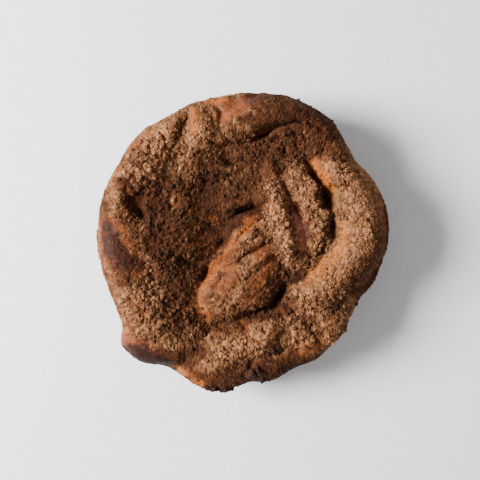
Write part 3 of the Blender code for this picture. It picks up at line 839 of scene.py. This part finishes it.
    def rise(self, points: Array, heights: tuple[Array, ...], crack: Array, cover: Array,
             heaped: Array, upright: Array) -> Array:
        """How far the skin stands out: pebbles of three sizes where crumbs lie, less the cracks,
        and broad swells and fine wrinkles that die away at the foot.

        Args:
            points: The smooth loaf's points.
            heights: The heights of the lumps, crumbs and grains at each point.
            crack: How open a crack is at each point.
            cover: How thick crumbs lie.
            heaped: How high they are heaped.
            upright: How far each point is above the loaf's side.

        Returns:
            The distance along the normal for each point.
        """
        heap = heaped * weighted(self.heap_rise, heights)
        rise = cover * (heap + weighted(self.crumb_rise, heights) - self.settling)
        rise -= self.crack_depth * crack
        bare = 1 - cover * (1 - self.crack_bares * crack)
        wrinkles = self.wrinkle_height * WRINKLES.at(points * self.wrinkle_stretch)
        wrinkles += upright * weighted(self.bare_rise, heights)
        swell = self.unevenness * SWELLS.at(points) + bare * wrinkles
        return rise + swell * smooth_step(points[:, 2], *self.foot_band)

    def crumb_tone(self, shades: tuple[Array, ...], soaked_and_shaded: Array, pale: Array) -> Array:
        """How light the crumbs are, around 0.5: the pebbles' own shades, evened out and darkened in the
        juice-darkened patches, which also hold painted shade, and lightened in the pale patches, which hold
        drier crumbs and painted light.

        Args:
            shades: A random number for the lump, crumb and grain that each point is on.
            soaked_and_shaded: How strongly the juice-darkened patches reach each point: crumbs darkened by
                the filling's juice, and painted shade.
            pale: How strongly the pale patches reach each point: drier crumbs, and painted light on slopes
                turned from the key light.

        Returns:
            The tone at each point.
        """
        shade = weighted(self.shade_shares, shades)
        tone = 0.5 + (shade - 0.5) * (1 - self.soaked_and_shaded_evenness * np.minimum(soaked_and_shaded, 1))
        return tone + self.pale_and_lit_tone * pale - self.soaked_and_shaded_tone * soaked_and_shaded

    def browning(self, points: Array, golden: Array, dark: Array) -> Array:
        """How dark the crust has baked: noise around one level on the side and another on the
        top, drawn to a third in golden patches and a fourth in burnt ones.

        Args:
            points: The loaf's points.
            golden: How golden each point is.
            dark: How burnt each point is.

        Returns:
            Numbers from 0 to 1.
        """
        height = points[:, 2]
        side = self.side_bake[0] + self.side_bake[1] * SIDE_BROWNING.at(points * self.side_stretch)
        top = self.top_bake[0] + self.top_bake[1] * TOP_BROWNING.at(points)
        bake = side + (top - side) * smooth_step(height, *self.top_above)
        bake = bake + (self.golden_bake - bake) * golden
        bake = bake + (self.dark_bake - bake) * dark
        return np.clip(np.where(height < self.base_height, self.base_bake, bake), 0, 1)

    def build(self) -> tuple[bpy.types.Object, Skin]:
        """The loaf's object, with what its material reads painted on it.

        Returns:
            The object, and its skin as arrays.
        """
        points, quads, base = self.shape()
        piece = make_object("babka_crust", points, [quads, base])
        normals = point_normals(piece)
        ragged = RAGGED_EDGES.at(points)
        level = points[:, 2] + weighted(self.edge_noise, (ragged, UNEVEN_LEVEL.at(points)))
        upright = smooth_step(level, *self.crumbs_above)
        looks = {look: look_amount(look, points[:, :2], ragged) for look in Look}
        bare, heaped = looks[Look.BARE], looks[Look.HEAPED] * upright

        cover, dusting = self.covering(normals[:, 2], upright, ragged, bare)
        crack = np.exp(-(CRACK_LINES.at(points) / self.crack_width) ** 2)
        crack *= cover * smooth_step(CRACKED_AREAS.at(points), *self.cracks_in)
        heights, shades = zip(*(pebbles(points, size, SEED + 10 * k)
                                for k, size in enumerate(self.pebble_sizes, 1)))
        rise = self.rise(points, heights, crack, cover, heaped, upright)
        cover = cover * (1 - self.crack_bares * crack)
        points = points + normals * rise[:, None]
        place_points(piece.data, points)
        piece.data.update()

        # the crumbs' tone, darkened with painted shade in the juice-darkened patches and lightened with
        # painted light in the pale ones
        tone = self.crumb_tone(shades, looks[Look.SOAKED], looks[Look.PALE])
        high = smooth_step(points[:, 2], *self.golden_above)
        dark = looks[Look.DARK] * smooth_step(points[:, 2], *self.dark_above)
        # smooth glazed patches: they take a clear coat, and a painted sheen tint in the crust's colour
        washed_and_sheen = smooth_step(bare, *self.washed_from) * (1 - self.dark_dulls * np.minimum(dark, 1))
        filled = np.clip(weighted(self.filling, heights), 0, 1)
        for name, values in {
            "cover": dusting * (1 - self.crack_loses * crack),
            "bake": self.browning(points, looks[Look.GOLDEN] * high, dark),
            # darkest between the pebbles and in cracks: darker dough showing through, and painted shade
            "hollow_dough_and_shade": np.maximum(1 - filled, self.crack_dough_and_shade * crack),
            "tone": tone,
            "washed_and_sheen": washed_and_sheen * high,
            "pan": 1 - smooth_step(level, *self.pan_below),
        }.items():
            paint(piece, name, values)
        return piece, Skin(points, point_normals(piece), quads, cover, dusting, heaped, tone)


# Crumbs

def icosahedron() -> tuple[Array, Array]:
    """The twelve corners (0, +-1, +-g) and their turns, on the unit sphere, and twenty faces."""
    golden = (1 + math.sqrt(5)) / 2
    corners = [(-1, golden, 0), (1, golden, 0), (-1, -golden, 0), (1, -golden, 0),
               (0, -1, golden), (0, 1, golden), (0, -1, -golden), (0, 1, -golden),
               (golden, 0, -1), (golden, 0, 1), (-golden, 0, -1), (-golden, 0, 1)]
    faces = [(0, 11, 5), (0, 5, 1), (0, 1, 7), (0, 7, 10), (0, 10, 11), (1, 5, 9), (5, 11, 4),
             (11, 10, 2), (10, 7, 6), (7, 1, 8), (3, 9, 4), (3, 4, 2), (3, 2, 6), (3, 6, 8),
             (3, 8, 9), (4, 9, 5), (2, 4, 11), (6, 2, 10), (8, 6, 7), (9, 8, 1)]
    return np.array(corners) / math.hypot(1, golden), np.array(faces)


def octahedron() -> tuple[Array, Array]:
    """The six corners one unit out on the axes, and eight faces."""
    corners = [(1, 0, 0), (-1, 0, 0), (0, 1, 0), (0, -1, 0), (0, 0, 1), (0, 0, -1)]
    faces = [(0, 2, 4), (2, 1, 4), (1, 3, 4), (3, 0, 4), (2, 0, 5), (1, 2, 5), (3, 1, 5), (0, 3, 5)]
    return np.array(corners, float), np.array(faces)


def split_faces(corners: Array, faces: Array) -> tuple[Array, Array]:
    """Each face of a ball split into four, with the new corners pushed out onto the unit sphere.

    Args:
        corners: The ball's corners.
        faces: Its three-cornered faces.

    Returns:
        The finer ball's corners and faces.
    """
    edges = np.sort(np.vstack([faces[:, [0, 1]], faces[:, [1, 2]], faces[:, [2, 0]]]), axis=1)
    single, where = np.unique(edges, axis=0, return_inverse=True)
    middle = corners[single].mean(axis=1)
    middle /= np.linalg.norm(middle, axis=1)[:, None]
    a, b, c = (len(corners) + where.reshape(3, -1))
    split = [(faces[:, 0], a, c), (faces[:, 1], b, a), (faces[:, 2], c, b), (a, b, c)]
    return np.vstack([corners, middle]), np.vstack([np.column_stack(part) for part in split])


class Ball(Enum):
    """The ball that a kind of crumb is made from."""

    FINE = "octahedron"
    PLAIN = "icosahedron"
    LUMPY = "split icosahedron"

    def shape(self) -> tuple[Array, Array]:
        """The ball's corners and faces."""
        if self is Ball.FINE:
            return octahedron()
        if self is Ball.PLAIN:
            return icosahedron()
        return split_faces(*icosahedron())


@dataclass
class Crumbs:
    """One kind of crumb, strewn over the skin.

    Radius and tone are the kind's least and most, and the draws between them follow beta curves.
    Contrast is the least share of a tone's spread that is left on dark skin, and its rise with the
    skin's tone.
    """

    name: str
    ball: Ball
    count: int
    radius: Pair
    tone: Pair
    lift: float = 0.25
    least_up: float = 0.05
    up_band: float = 0.35
    heap_bias: float = 0.0
    dusted: bool = False
    thinning: float = 1.5
    on_others: float = 0.0
    roughness: float = 0.25
    squash: Pair = (0.6, 1.2)
    variants: int = 24
    radius_curve: Pair = (1.4, 2.4)
    tone_curve: Pair = (2.0, 2.0)
    contrast: Pair = (0.35, 1.3)
    skin_share: float = 0.9
    least_rise: float = 0.1
    climb_share: float = 0.9

    def moulds(self, rng: np.random.Generator) -> tuple[Array, Array]:
        """A few uneven shapes of this kind, each ball's corners moved in or out and squashed.

        Args:
            rng: Source of the random draws.

        Returns:
            The corners of each shape, and the faces that all of them share.
        """
        corners, faces = self.ball.shape()
        uneven = 1 + rng.uniform(-self.roughness, self.roughness, (self.variants, len(corners), 1))
        squash = rng.uniform(*self.squash, (self.variants, 1, 3))
        return corners * uneven * squash, faces

    def places(self, skin: Skin, rng: np.random.Generator) -> tuple[Array, Array, Array]:
        """Random places on the skin, more where it is covered or dusted, heaped and faces up.

        Args:
            skin: The loaf's surface.
            rng: Source of the random draws.

        Returns:
            Points, the directions the skin faces there, and the skin's tone there.
        """
        corners = skin.points[skin.quads]
        diagonals = np.cross(corners[:, 2] - corners[:, 0], corners[:, 3] - corners[:, 1])
        area = np.linalg.norm(diagonals, axis=1) / 2
        up = skin.normals[skin.quads, 2].mean(axis=1)
        if self.dusted:
            cover = skin.dusting[skin.quads].mean(axis=1)
        else:
            cover = skin.cover[skin.quads].mean(axis=1) ** self.thinning
        heaped = skin.heaped[skin.quads].mean(axis=1)
        weight = area * cover * smooth_step(up, self.least_up, self.least_up + self.up_band)
        weight *= (1 - self.heap_bias) + self.heap_bias * heaped
        chosen = rng.choice(len(weight), self.count, p=weight / weight.sum())
        u, v = rng.uniform(0, 1, (2, self.count, 1))
        shares = np.stack([(1 - u) * (1 - v), u * (1 - v), u * v, (1 - u) * v], axis=1)
        quads = skin.quads[chosen]
        points = (skin.points[quads] * shares).sum(axis=1)
        normals = (skin.normals[quads] * shares).sum(axis=1)
        tone = (skin.tone[quads][..., None] * shares).sum(axis=1)[:, 0]
        return points, normals, tone

    def climb(self, points: Array, normals: Array, tone: Array, others: Array,
              rng: np.random.Generator) -> None:
        """Moves a share of the places onto larger crumbs: out from their centres by most of their
        radius, in a random direction that isn't below level.

        Args:
            points: The places, which are changed.
            normals: The directions faced there, which are changed.
            tone: The skin's tone there, which is changed to the larger crumb's.
            others: Rows of x, y, z, radius and skin tone of the larger crumbs.
            rng: Source of the random draws.
        """
        moved = round(self.on_others * self.count) if len(others) else 0
        size = others[:, 3] ** 2
        hosts = others[rng.choice(len(others), moved, p=size / size.sum())] if moved else others[:0]
        heading = rng.normal(size=(moved, 3))
        heading[:, 2] = np.abs(heading[:, 2]) + self.least_rise
        heading /= np.linalg.norm(heading, axis=1)[:, None]
        points[:moved] = hosts[:, :3] + heading * hosts[:, 3:4] * self.climb_share
        normals[:moved] = heading
        tone[:moved] = hosts[:, 4]

    def turns(self, rng: np.random.Generator) -> Array:
        """A rotation matrix for each crumb, from a random unit quaternion.

        Args:
            rng: Source of the random draws.

        Returns:
            The matrices, with the crumbs along the last axis.
        """
        w, x, y, z = (drawn := rng.normal(size=(4, self.count))) / np.linalg.norm(drawn, axis=0)
        return np.array([[1 - 2 * (y * y + z * z), 2 * (x * y - z * w), 2 * (x * z + y * w)],
                         [2 * (x * y + z * w), 1 - 2 * (x * x + z * z), 2 * (y * z - x * w)],
                         [2 * (x * z - y * w), 2 * (y * z + x * w), 1 - 2 * (x * x + y * y)]])

    def tones(self, skin_tone: Array, rng: np.random.Generator) -> Array:
        """Each crumb's tone: drawn round the kind's own, and shifted with the skin's, which carries painted
        shade and painted light.

        Args:
            skin_tone: The skin's tone under each crumb. Crumbs differ less where it is dark.
            rng: Source of the random draws.

        Returns:
            The tone of each crumb.
        """
        low, high = self.tone
        drawn = (high - low) * (rng.beta(*self.tone_curve, self.count) - 0.5)
        least, gain = self.contrast
        contrast = np.clip(least + gain * skin_tone, least, 1.0)
        return (low + high) / 2 + drawn * contrast + self.skin_share * (skin_tone - 0.5)

    def build(self, skin: Skin, others: Array, rng: np.random.Generator) -> tuple[bpy.types.Object, Array]:
        """All the crumbs of this kind as one object: each is a mould that is turned, scaled and
        set on the skin, with its centre lifted by a share of its radius.

        Args:
            skin: The loaf's surface.
            others: Rows of x, y, z, radius and skin tone of the larger crumbs.
            rng: Source of the random draws.

        Returns:
            The object, and a row like the others' for each of its crumbs.
        """
        points, normals, skin_tone = self.places(skin, rng)
        self.climb(points, normals, skin_tone, others, rng)
        moulds, faces = self.moulds(rng)
        small, large = self.radius
        radius = small + (large - small) * rng.beta(*self.radius_curve, self.count)
        turns = self.turns(rng)
        shapes = moulds[rng.integers(0, self.variants, self.count)] * radius[:, None, None]
        shapes = np.einsum("ijn,nkj->nki", turns, shapes)
        centres = points + normals * (self.lift * radius)[:, None]
        shapes += centres[:, None, :]
        corners = shapes.shape[1]
        numbers = repeated_faces(faces, corners, self.count)
        piece = make_object(self.name, shapes.reshape(-1, 3), [numbers])
        paint(piece, "tone", np.repeat(self.tones(skin_tone, rng), corners))
        return piece, np.column_stack([centres, radius, skin_tone])


CRUMB_KINDS = (
    Crumbs("streusel_lumps", Ball.LUMPY, 760, (0.9, 2.1), (0.35, 0.62), lift=0.15, heap_bias=0.97,
           roughness=0.2),
    Crumbs("streusel_crumbs", Ball.PLAIN, 9900, (0.40, 0.90), (0.35, 0.72), lift=0.2, heap_bias=0.4,
           on_others=0.15, roughness=0.3),
    Crumbs("streusel_grains", Ball.FINE, 24500, (0.26, 0.52), (0.35, 0.75), least_up=-0.1, on_others=0.28),
    Crumbs("streusel_pale_grains", Ball.FINE, 24000, (0.26, 0.50), (0.45, 0.85), least_up=-0.1,
           dusted=True, on_others=0.15),
    Crumbs("streusel_dust", Ball.FINE, 24000, (0.20, 0.40), (0.4, 0.9), least_up=-0.2, dusted=True,
           on_others=0.1),
)


# Burnt filling

@dataclass
class BurntBits:
    """Lumps of filling that have boiled out and burnt onto the crust, with places of x, y, z and
    radius. Each is set on the skin's point that lies nearest to its place."""

    places: tuple[Station, ...] = (
        (17, -75, 50, 3.6), (22, -74, 50, 3.6), (25, -73, 50, 2.6), (2, -85, 46, 3.8), (6, -88, 44, 4.0),
        (11, -86, 45, 3.6), (12, -91, 42, 3.0), (-2, -89, 44, 2.6), (-2, -60, 46, 1.8),
        (58, -41, 50, 2.6), (62, -44, 49, 2.2), (26, -42, 44, 2.2), (18, -47, 44, 2.4),
        (-23, -103, 36, 4.3), (-20, -104, 40, 3.6), (-14, -103, 36, 4.1), (-10, -103, 33, 3.2),
        (-26, -102, 38, 2.2), (-17, -104, 33, 2.4), (45, 93, 44, 1.2), (63, 80, 42, 1.2), (71, 67, 42, 1.0),
    )
    splits: int = 3
    sink: float = 0.5
    unevenness: float = 0.9
    squash: Pair = (0.75, 1.2)
    spacing: float = 10.0

    def build(self, skin: Skin, rng: np.random.Generator) -> bpy.types.Object:
        """All the bits as one object: each is a ball whose corners move out and in with soft noise
        on their direction, squashed at random.

        Args:
            skin: The loaf's surface.
            rng: Source of the random draws.

        Returns:
            The object.
        """
        corners, faces = icosahedron()
        for _ in range(self.splits):
            corners, faces = split_faces(corners, faces)
        rows = np.array(self.places, float)
        count = len(rows)
        gaps = ((skin.points[None] - rows[:, None, :3]) ** 2).sum(axis=2)
        nearest = gaps.argmin(axis=1)
        centres = skin.points[nearest] - skin.normals[nearest] * (self.sink * rows[:, 3:])
        shift = np.repeat(np.arange(count) * self.spacing, len(corners))[:, None]
        ripple = BURNT_BUBBLES.at(np.tile(corners, (count, 1)) + shift)
        shapes = corners[None] * (1 + self.unevenness * ripple.reshape(count, -1, 1))
        shapes *= rng.uniform(*self.squash, (count, 1, 3)) * rows[:, None, 3:]
        points = (shapes + centres[:, None]).reshape(-1, 3)
        return make_object("burnt_filling", points, [repeated_faces(faces, len(corners), count)])


# Finishes

class Tree:
    """A short way to add and join the nodes of one tree."""

    def __init__(self, tree: bpy.types.NodeTree) -> None:
        """Keeps the tree that the nodes go into."""
        self.tree = tree

    def add(self, kind: str, **values: object) -> bpy.types.Node:
        """A new node, with its properties or inputs set by name.

        Args:
            kind: The node's type.
            values: Properties of the node, or inputs with their spaces as underscores. An input
                may be given another node's output.

        Returns:
            The node.
        """
        node = self.tree.nodes.new(kind)
        own = {name: value for name, value in values.items() if hasattr(node, name)}
        for name, value in own.items():
            setattr(node, name, value)
        self.feed(node, **{name: value for name, value in values.items() if name not in own})
        return node

    def feed(self, node: bpy.types.Node, **values: object) -> None:
        """Sets inputs of a node, or joins them to the outputs given.

        Args:
            node: The node.
            values: Inputs by name, with their spaces as underscores, or by number as i0, i1 and on.
        """
        for name, value in values.items():
            numbered = name[0] == "i" and name[1:].isdigit()
            socket = node.inputs[int(name[1:]) if numbered else name.replace("_", " ")]
            if isinstance(value, Socket):
                self.tree.links.new(value, socket)
            else:
                socket.default_value = value

    def ramp(self, factor: Socket, stops: Stops) -> Socket:
        """A colour ramp.

        Args:
            factor: The output that is looked up.
            stops: A place and a colour for each stop.

        Returns:
            The colour.
        """
        node = self.add("ShaderNodeValToRGB", Fac=factor)
        elements = node.color_ramp.elements
        while len(elements) < len(stops):
            elements.new(0.5)
        for element, (place, colour) in zip(elements, stops):
            element.position = place
            element.color = (*colour, 1.0)
        return node.outputs["Color"]

    def maths(self, operation: str, *inputs: object) -> Socket:
        """A Math node on up to three inputs."""
        values = {f"i{k}": value for k, value in enumerate(inputs)}
        return self.add("ShaderNodeMath", operation=operation, **values).outputs[0]

    def blend(self, factor: object, first: object, second: object) -> Socket:
        """A colour mix from the first to the second."""
        node = self.add("ShaderNodeMix", data_type="RGBA", i0=factor, i6=first, i7=second)
        return node.outputs[2]

    def band(self, value: Socket, low: float, high: float, **values: object) -> Socket:
        """The value mapped from low to high onto 0 to 1.

        Args:
            value: The output that is mapped.
            low: The value that gives 0.
            high: The value that gives 1.
            values: Further properties or inputs of the Map Range node.

        Returns:
            The mapped value.
        """
        node = self.add("ShaderNodeMapRange", Value=value, From_Min=low, From_Max=high, **values)
        return node.outputs["Result"]

    def attribute(self, name: str) -> Socket:
        """The number painted on the piece's points under this name."""
        return self.add("ShaderNodeAttribute", attribute_name=name).outputs["Fac"]

    def grain(self, group: bpy.types.NodeTree, size: float = 1.0) -> Socket:
        """The crumb grain's mottling at this size."""
        return self.add("ShaderNodeGroup", node_tree=group, Size=size).outputs["Mottle"]

    def bump(self, height: Socket, distance: float, strength: float = 1.0) -> Socket:
        """The normal that this height gives, with its distance in metres."""
        node = self.add("ShaderNodeBump", Height=height, Distance=distance, Strength=strength)
        return node.outputs["Normal"]


# Scale for each metre, detail, roughness and share of the grain's coarse and its fine noise
GRAIN_LAYERS = ((900.0, 3.0, 0.6, 0.65), (2600.0, 2.0, 0.5, 0.35))


def crumb_grain_group() -> bpy.types.NodeTree:
    """The node group for baked crumb's grain: a value that varies over the surface at two sizes.

    Returns:
        The group, with an input Size and an output Mottle, which also serves as a bump's height.
    """
    tree = bpy.data.node_groups.new("crumb_grain", "ShaderNodeTree")
    tree.interface.new_socket("Size", in_out="INPUT", socket_type="NodeSocketFloat").default_value = 1.0
    tree.interface.new_socket("Mottle", in_out="OUTPUT", socket_type="NodeSocketFloat")
    nodes = Tree(tree)
    size = nodes.add("NodeGroupInput").outputs["Size"]
    places = nodes.add("ShaderNodeTexCoord").outputs["Object"]
    shares = []
    for scale, detail, roughness, share in GRAIN_LAYERS:
        noise = nodes.add("ShaderNodeTexNoise", Vector=places, Scale=nodes.maths("DIVIDE", scale, size),
                          Detail=detail, Roughness=roughness)
        shares.append(nodes.maths("MULTIPLY", noise.outputs["Fac"], share))
    nodes.add("NodeGroupOutput", Mottle=nodes.maths("ADD", *shares))
    return tree


def new_material(name: str) -> tuple[bpy.types.Material, Tree, bpy.types.Node]:
    """A material of this name, with its nodes and its shader."""
    material = bpy.data.materials.new(name)
    material.use_nodes = True
    return material, Tree(material.node_tree), material.node_tree.nodes["Principled BSDF"]


@dataclass(frozen=True)
class CrumbFinish:
    """Baked streusel: dull, brown, a little different on each crumb.

    A finish's bump is a distance in metres and a strength.
    """

    name: str
    grain: bpy.types.NodeTree
    stops: Stops = (
        (0.0, (0.026, 0.0095, 0.0045)), (0.3, (0.084, 0.0335, 0.0135)), (0.6, (0.228, 0.104, 0.045)),
        (1.0, (0.48, 0.216, 0.099)),
    )
    stain: Colour = (0.14, 0.038, 0.012)
    stain_size: float = 5.0
    stained_at: Pair = (0.46, 0.66)
    most_stained: float = 0.45
    mottling: float = 0.9
    roughness: float = 0.82
    specular: float = 0.15
    bump: Pair = (0.0006, 0.6)

    def colour(self, nodes: Tree, mottle: Socket) -> Socket:
        """The crumb's colour from its own tone and the grain's mottling, with red stains in it.

        Args:
            nodes: The tree that the nodes go into.
            mottle: The grain's mottling, around 0.5.

        Returns:
            The colour.
        """
        varied = nodes.maths("MULTIPLY", nodes.maths("SUBTRACT", mottle, 0.5), self.mottling)
        tone = nodes.maths("ADD", nodes.attribute("tone"), varied)
        stained = nodes.band(nodes.grain(self.grain, self.stain_size), *self.stained_at,
                             To_Max=self.most_stained)
        return nodes.blend(stained, nodes.ramp(tone, self.stops), (*self.stain, 1.0))

    def material(self) -> bpy.types.Material:
        """The finished material."""
        material, nodes, shader = new_material(self.name)
        mottle = nodes.grain(self.grain)
        nodes.feed(shader, Base_Color=self.colour(nodes, mottle), Normal=nodes.bump(mottle, *self.bump),
                   Roughness=self.roughness, Specular_IOR_Level=self.specular)
        return material


@dataclass(frozen=True)
class CrustFinish:
    """Browned dough glazed with egg, with the streusel that is baked into it.

    The grain and the patches vary its bake, and the crumbs show where cover and grain are high.
    Smooth glazed patches carry a clear coat and a paler, pinker tint, which is a painted sheen; the crumbs
    darken in their hollows with darker dough and painted shade.
    """

    name: str
    grain: bpy.types.NodeTree
    crumb: CrumbFinish
    stops: Stops = (
        (0.0, (0.42, 0.132, 0.014)), (0.25, (0.24, 0.056, 0.013)), (0.5, (0.108, 0.025, 0.009)),
        (0.75, (0.036, 0.0105, 0.0055)), (1.0, (0.010, 0.0048, 0.0035)),
    )
    pan_stops: Stops = (
        (0.0, (0.40, 0.180, 0.060)), (0.35, (0.25, 0.092, 0.028)), (0.6, (0.135, 0.042, 0.014)),
        (1.0, (0.045, 0.014, 0.007)),
    )
    # the tint of smooth glazed patches: a painted sheen
    painted_sheen: Colour = (0.18, 0.068, 0.042)
    most_painted_sheen: float = 0.2
    # the hollows between crumbs and in cracks: darker dough, and painted shade where shade falls into them
    hollow_dough_and_shade: Colour = (0.075, 0.020, 0.007)
    most_hollow_dough_and_shade: float = 0.75
    grain_size: float = 1.1
    grain_share: float = 1.5
    patch_size: float = 3.5
    patch_share: float = 1.2
    mask_grain: float = 3.0
    crumbs_at: Pair = (0.35, 0.65)
    coat_at: Pair = (0.3, 0.05)
    gloss: float = 0.6
    dull: float = 0.85
    coat: float = 0.15
    coat_roughness: float = 0.55
    specular: float = 0.06
    bump: Pair = (0.0005, 0.35)

    def dough(self, nodes: Tree, mottle: Socket) -> Socket:
        """The bare crust's colour, browned by its bake, paler and pinker on smooth glazed patches as a
        painted sheen, and paler where it baked in the pan.

        Args:
            nodes: The tree that the nodes go into.
            mottle: The grain's mottling, around 0.

        Returns:
            The colour.
        """
        broad = nodes.maths("SUBTRACT", nodes.grain(self.grain, self.patch_size), 0.5)
        varied = nodes.maths("MULTIPLY_ADD", mottle, self.grain_share,
                             nodes.maths("MULTIPLY", broad, self.patch_share))
        bake = nodes.maths("ADD", nodes.attribute("bake"), varied)
        # painted sheen: smooth glazed crust tinted paler and pinker
        crust = nodes.blend(nodes.maths("MULTIPLY", nodes.attribute("washed_and_sheen"), self.most_painted_sheen),
                            nodes.ramp(bake, self.stops), (*self.painted_sheen, 1.0))
        return nodes.blend(nodes.attribute("pan"), crust, nodes.ramp(bake, self.pan_stops))

    def material(self) -> bpy.types.Material:
        """The finished material."""
        material, nodes, shader = new_material(self.name)
        grain = nodes.grain(self.grain, self.grain_size)
        mottle = nodes.maths("SUBTRACT", grain, 0.5)
        # crumb colour darkened in the hollows with darker dough and painted shade
        crumbs = nodes.blend(nodes.maths("MULTIPLY", nodes.attribute("hollow_dough_and_shade"), self.most_hollow_dough_and_shade),
                             self.crumb.colour(nodes, grain), (*self.hollow_dough_and_shade, 1.0))
        cover = nodes.attribute("cover")
        covered = nodes.maths("ADD", cover, nodes.maths("MULTIPLY", mottle, self.mask_grain))
        mask = nodes.band(covered, *self.crumbs_at, interpolation_type="SMOOTHSTEP")
        roughness = nodes.maths("ADD", self.gloss, nodes.maths("MULTIPLY", mask, self.dull - self.gloss))
        coat = nodes.maths("MULTIPLY", nodes.band(cover, *self.coat_at), nodes.attribute("washed_and_sheen"))
        nodes.feed(shader, Base_Color=nodes.blend(mask, self.dough(nodes, mottle), crumbs),
                   Roughness=roughness, Coat_Weight=nodes.maths("MULTIPLY", coat, self.coat),
                   Coat_Roughness=self.coat_roughness, Normal=nodes.bump(grain, *self.bump),
                   Specular_IOR_Level=self.specular)
        return material


@dataclass(frozen=True)
class BurntFinish:
    """Filling burnt nearly black, with ashy brown patches and a syrupy shine.

    Spread and roughness are each a factor and an offset on the grain's mottling.
    """

    name: str
    grain: bpy.types.NodeTree
    stops: Stops = (
        (0.0, (0.012, 0.005, 0.0035)), (0.4, (0.040, 0.013, 0.006)), (0.6, (0.12, 0.040, 0.014)),
        (1.0, (0.28, 0.12, 0.05)),
    )
    grain_size: float = 1.4
    spread: Pair = (2.1, -0.78)
    roughness: Pair = (0.8, 0.3)
    specular: float = 0.12
    bump: Pair = (0.0008, 0.8)

    def material(self) -> bpy.types.Material:
        """The finished material."""
        material, nodes, shader = new_material(self.name)
        mottle = nodes.grain(self.grain, self.grain_size)
        spread = nodes.maths("MULTIPLY_ADD", mottle, *self.spread)
        nodes.feed(shader, Base_Color=nodes.ramp(spread, self.stops), Normal=nodes.bump(mottle, *self.bump),
                   Roughness=nodes.maths("MULTIPLY_ADD", mottle, *self.roughness),
                   Specular_IOR_Level=self.specular)
        return material


# Studio

@dataclass
class Studio:
    """A pale floor, one soft key light from the left, faint light all round, and the camera. Sizes
    and places are metres, apart from the lens and its sensor, which are millimetres."""

    floor_size: float = 3.0
    floor_colour: Colour = (0.96, 0.965, 0.97)
    floor_roughness: float = 0.9
    tooth_scale: float = 900.0
    tooth_depth: float = 0.0002
    key_place: Place = (-0.95, 0.10, 0.72)
    key_aim: Place = (0, 0, 0.04)
    key_size: float = 0.5
    key_power: float = 52.0
    sky_colour: Colour = (0.95, 0.97, 1.0)
    sky_strength: float = 0.44
    camera_place: Place = (-0.0023, 0.0018, 0.52)
    lens: float = 51.2
    sensor: float = 36.0

    def build(self) -> None:
        """Makes the floor, the lights and the camera."""
        self.lay_floor()
        self.light()
        self.set_camera()

    def lay_floor(self) -> None:
        """A flat square of card."""
        half = self.floor_size / 2
        line = np.linspace(-half, half, 3) / MM
        across, up = np.meshgrid(line, line)
        points = np.column_stack([across.ravel(), up.ravel(), np.zeros(across.size)])
        floor = make_object("floor", points, [grid_faces(np.arange(9).reshape(3, 3))])
        floor.data.materials.append(self.floor_material())

    def light(self) -> None:
        """The key light, aimed at the loaf, and the sky."""
        lamp = bpy.data.lights.new("key", "AREA")
        lamp.size = self.key_size
        lamp.energy = self.key_power
        key = add_object("key", lamp)
        key.location = self.key_place
        key.rotation_euler = (Vector(self.key_aim) - key.location).to_track_quat("-Z", "Y").to_euler()

        world = bpy.data.worlds.new("sky")
        world.use_nodes = True
        sky = world.node_tree.nodes["Background"]
        sky.inputs["Color"].default_value = (*self.sky_colour, 1.0)
        sky.inputs["Strength"].default_value = self.sky_strength
        bpy.context.scene.world = world

    def set_camera(self) -> None:
        """The camera, which looks straight down."""
        optics = bpy.data.cameras.new("camera")
        optics.lens = self.lens
        optics.sensor_width = self.sensor
        camera = add_object("camera", optics)
        camera.location = self.camera_place
        bpy.context.scene.camera = camera

    def floor_material(self) -> bpy.types.Material:
        """Plain pale card with a faint tooth."""
        material, nodes, shader = new_material("pale_card")
        places = nodes.add("ShaderNodeTexCoord").outputs["Object"]
        tooth = nodes.add("ShaderNodeTexNoise", Vector=places, Scale=self.tooth_scale).outputs["Fac"]
        nodes.feed(shader, Normal=nodes.bump(tooth, self.tooth_depth), Roughness=self.floor_roughness,
                   Base_Color=(*self.floor_colour, 1.0))
        return material


def main() -> None:
    """Builds the loaf, its crumbs and the studio in order."""
    logging.basicConfig(level=logging.INFO, format="%(name)s: %(message)s")
    log.info("ropes: %s", ", ".join(rope.name for rope in RIM_ROPES + MIDDLE_ROPES))
    log.info("creases: %s", ", ".join(crease.name for crease in CREASES))
    rng = np.random.default_rng(SEED)
    grain = crumb_grain_group()
    crumb_finish = CrumbFinish("streusel", grain)

    crust, skin = Loaf().build()
    mount(crust, CrustFinish("babka_crust", grain, crumb_finish).material())
    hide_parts(NODE)

    streusel = crumb_finish.material()
    larger = np.zeros((0, 5))
    for kind in CRUMB_KINDS:
        piece, crumbs = kind.build(skin, larger, rng)
        mount(piece, streusel)
        if kind.ball is not Ball.FINE:
            larger = np.vstack([larger, crumbs])
    mount(BurntBits().build(skin, rng), BurntFinish("burnt_filling", grain).material())

    Studio().build()


if __name__ == "__main__":
    main()
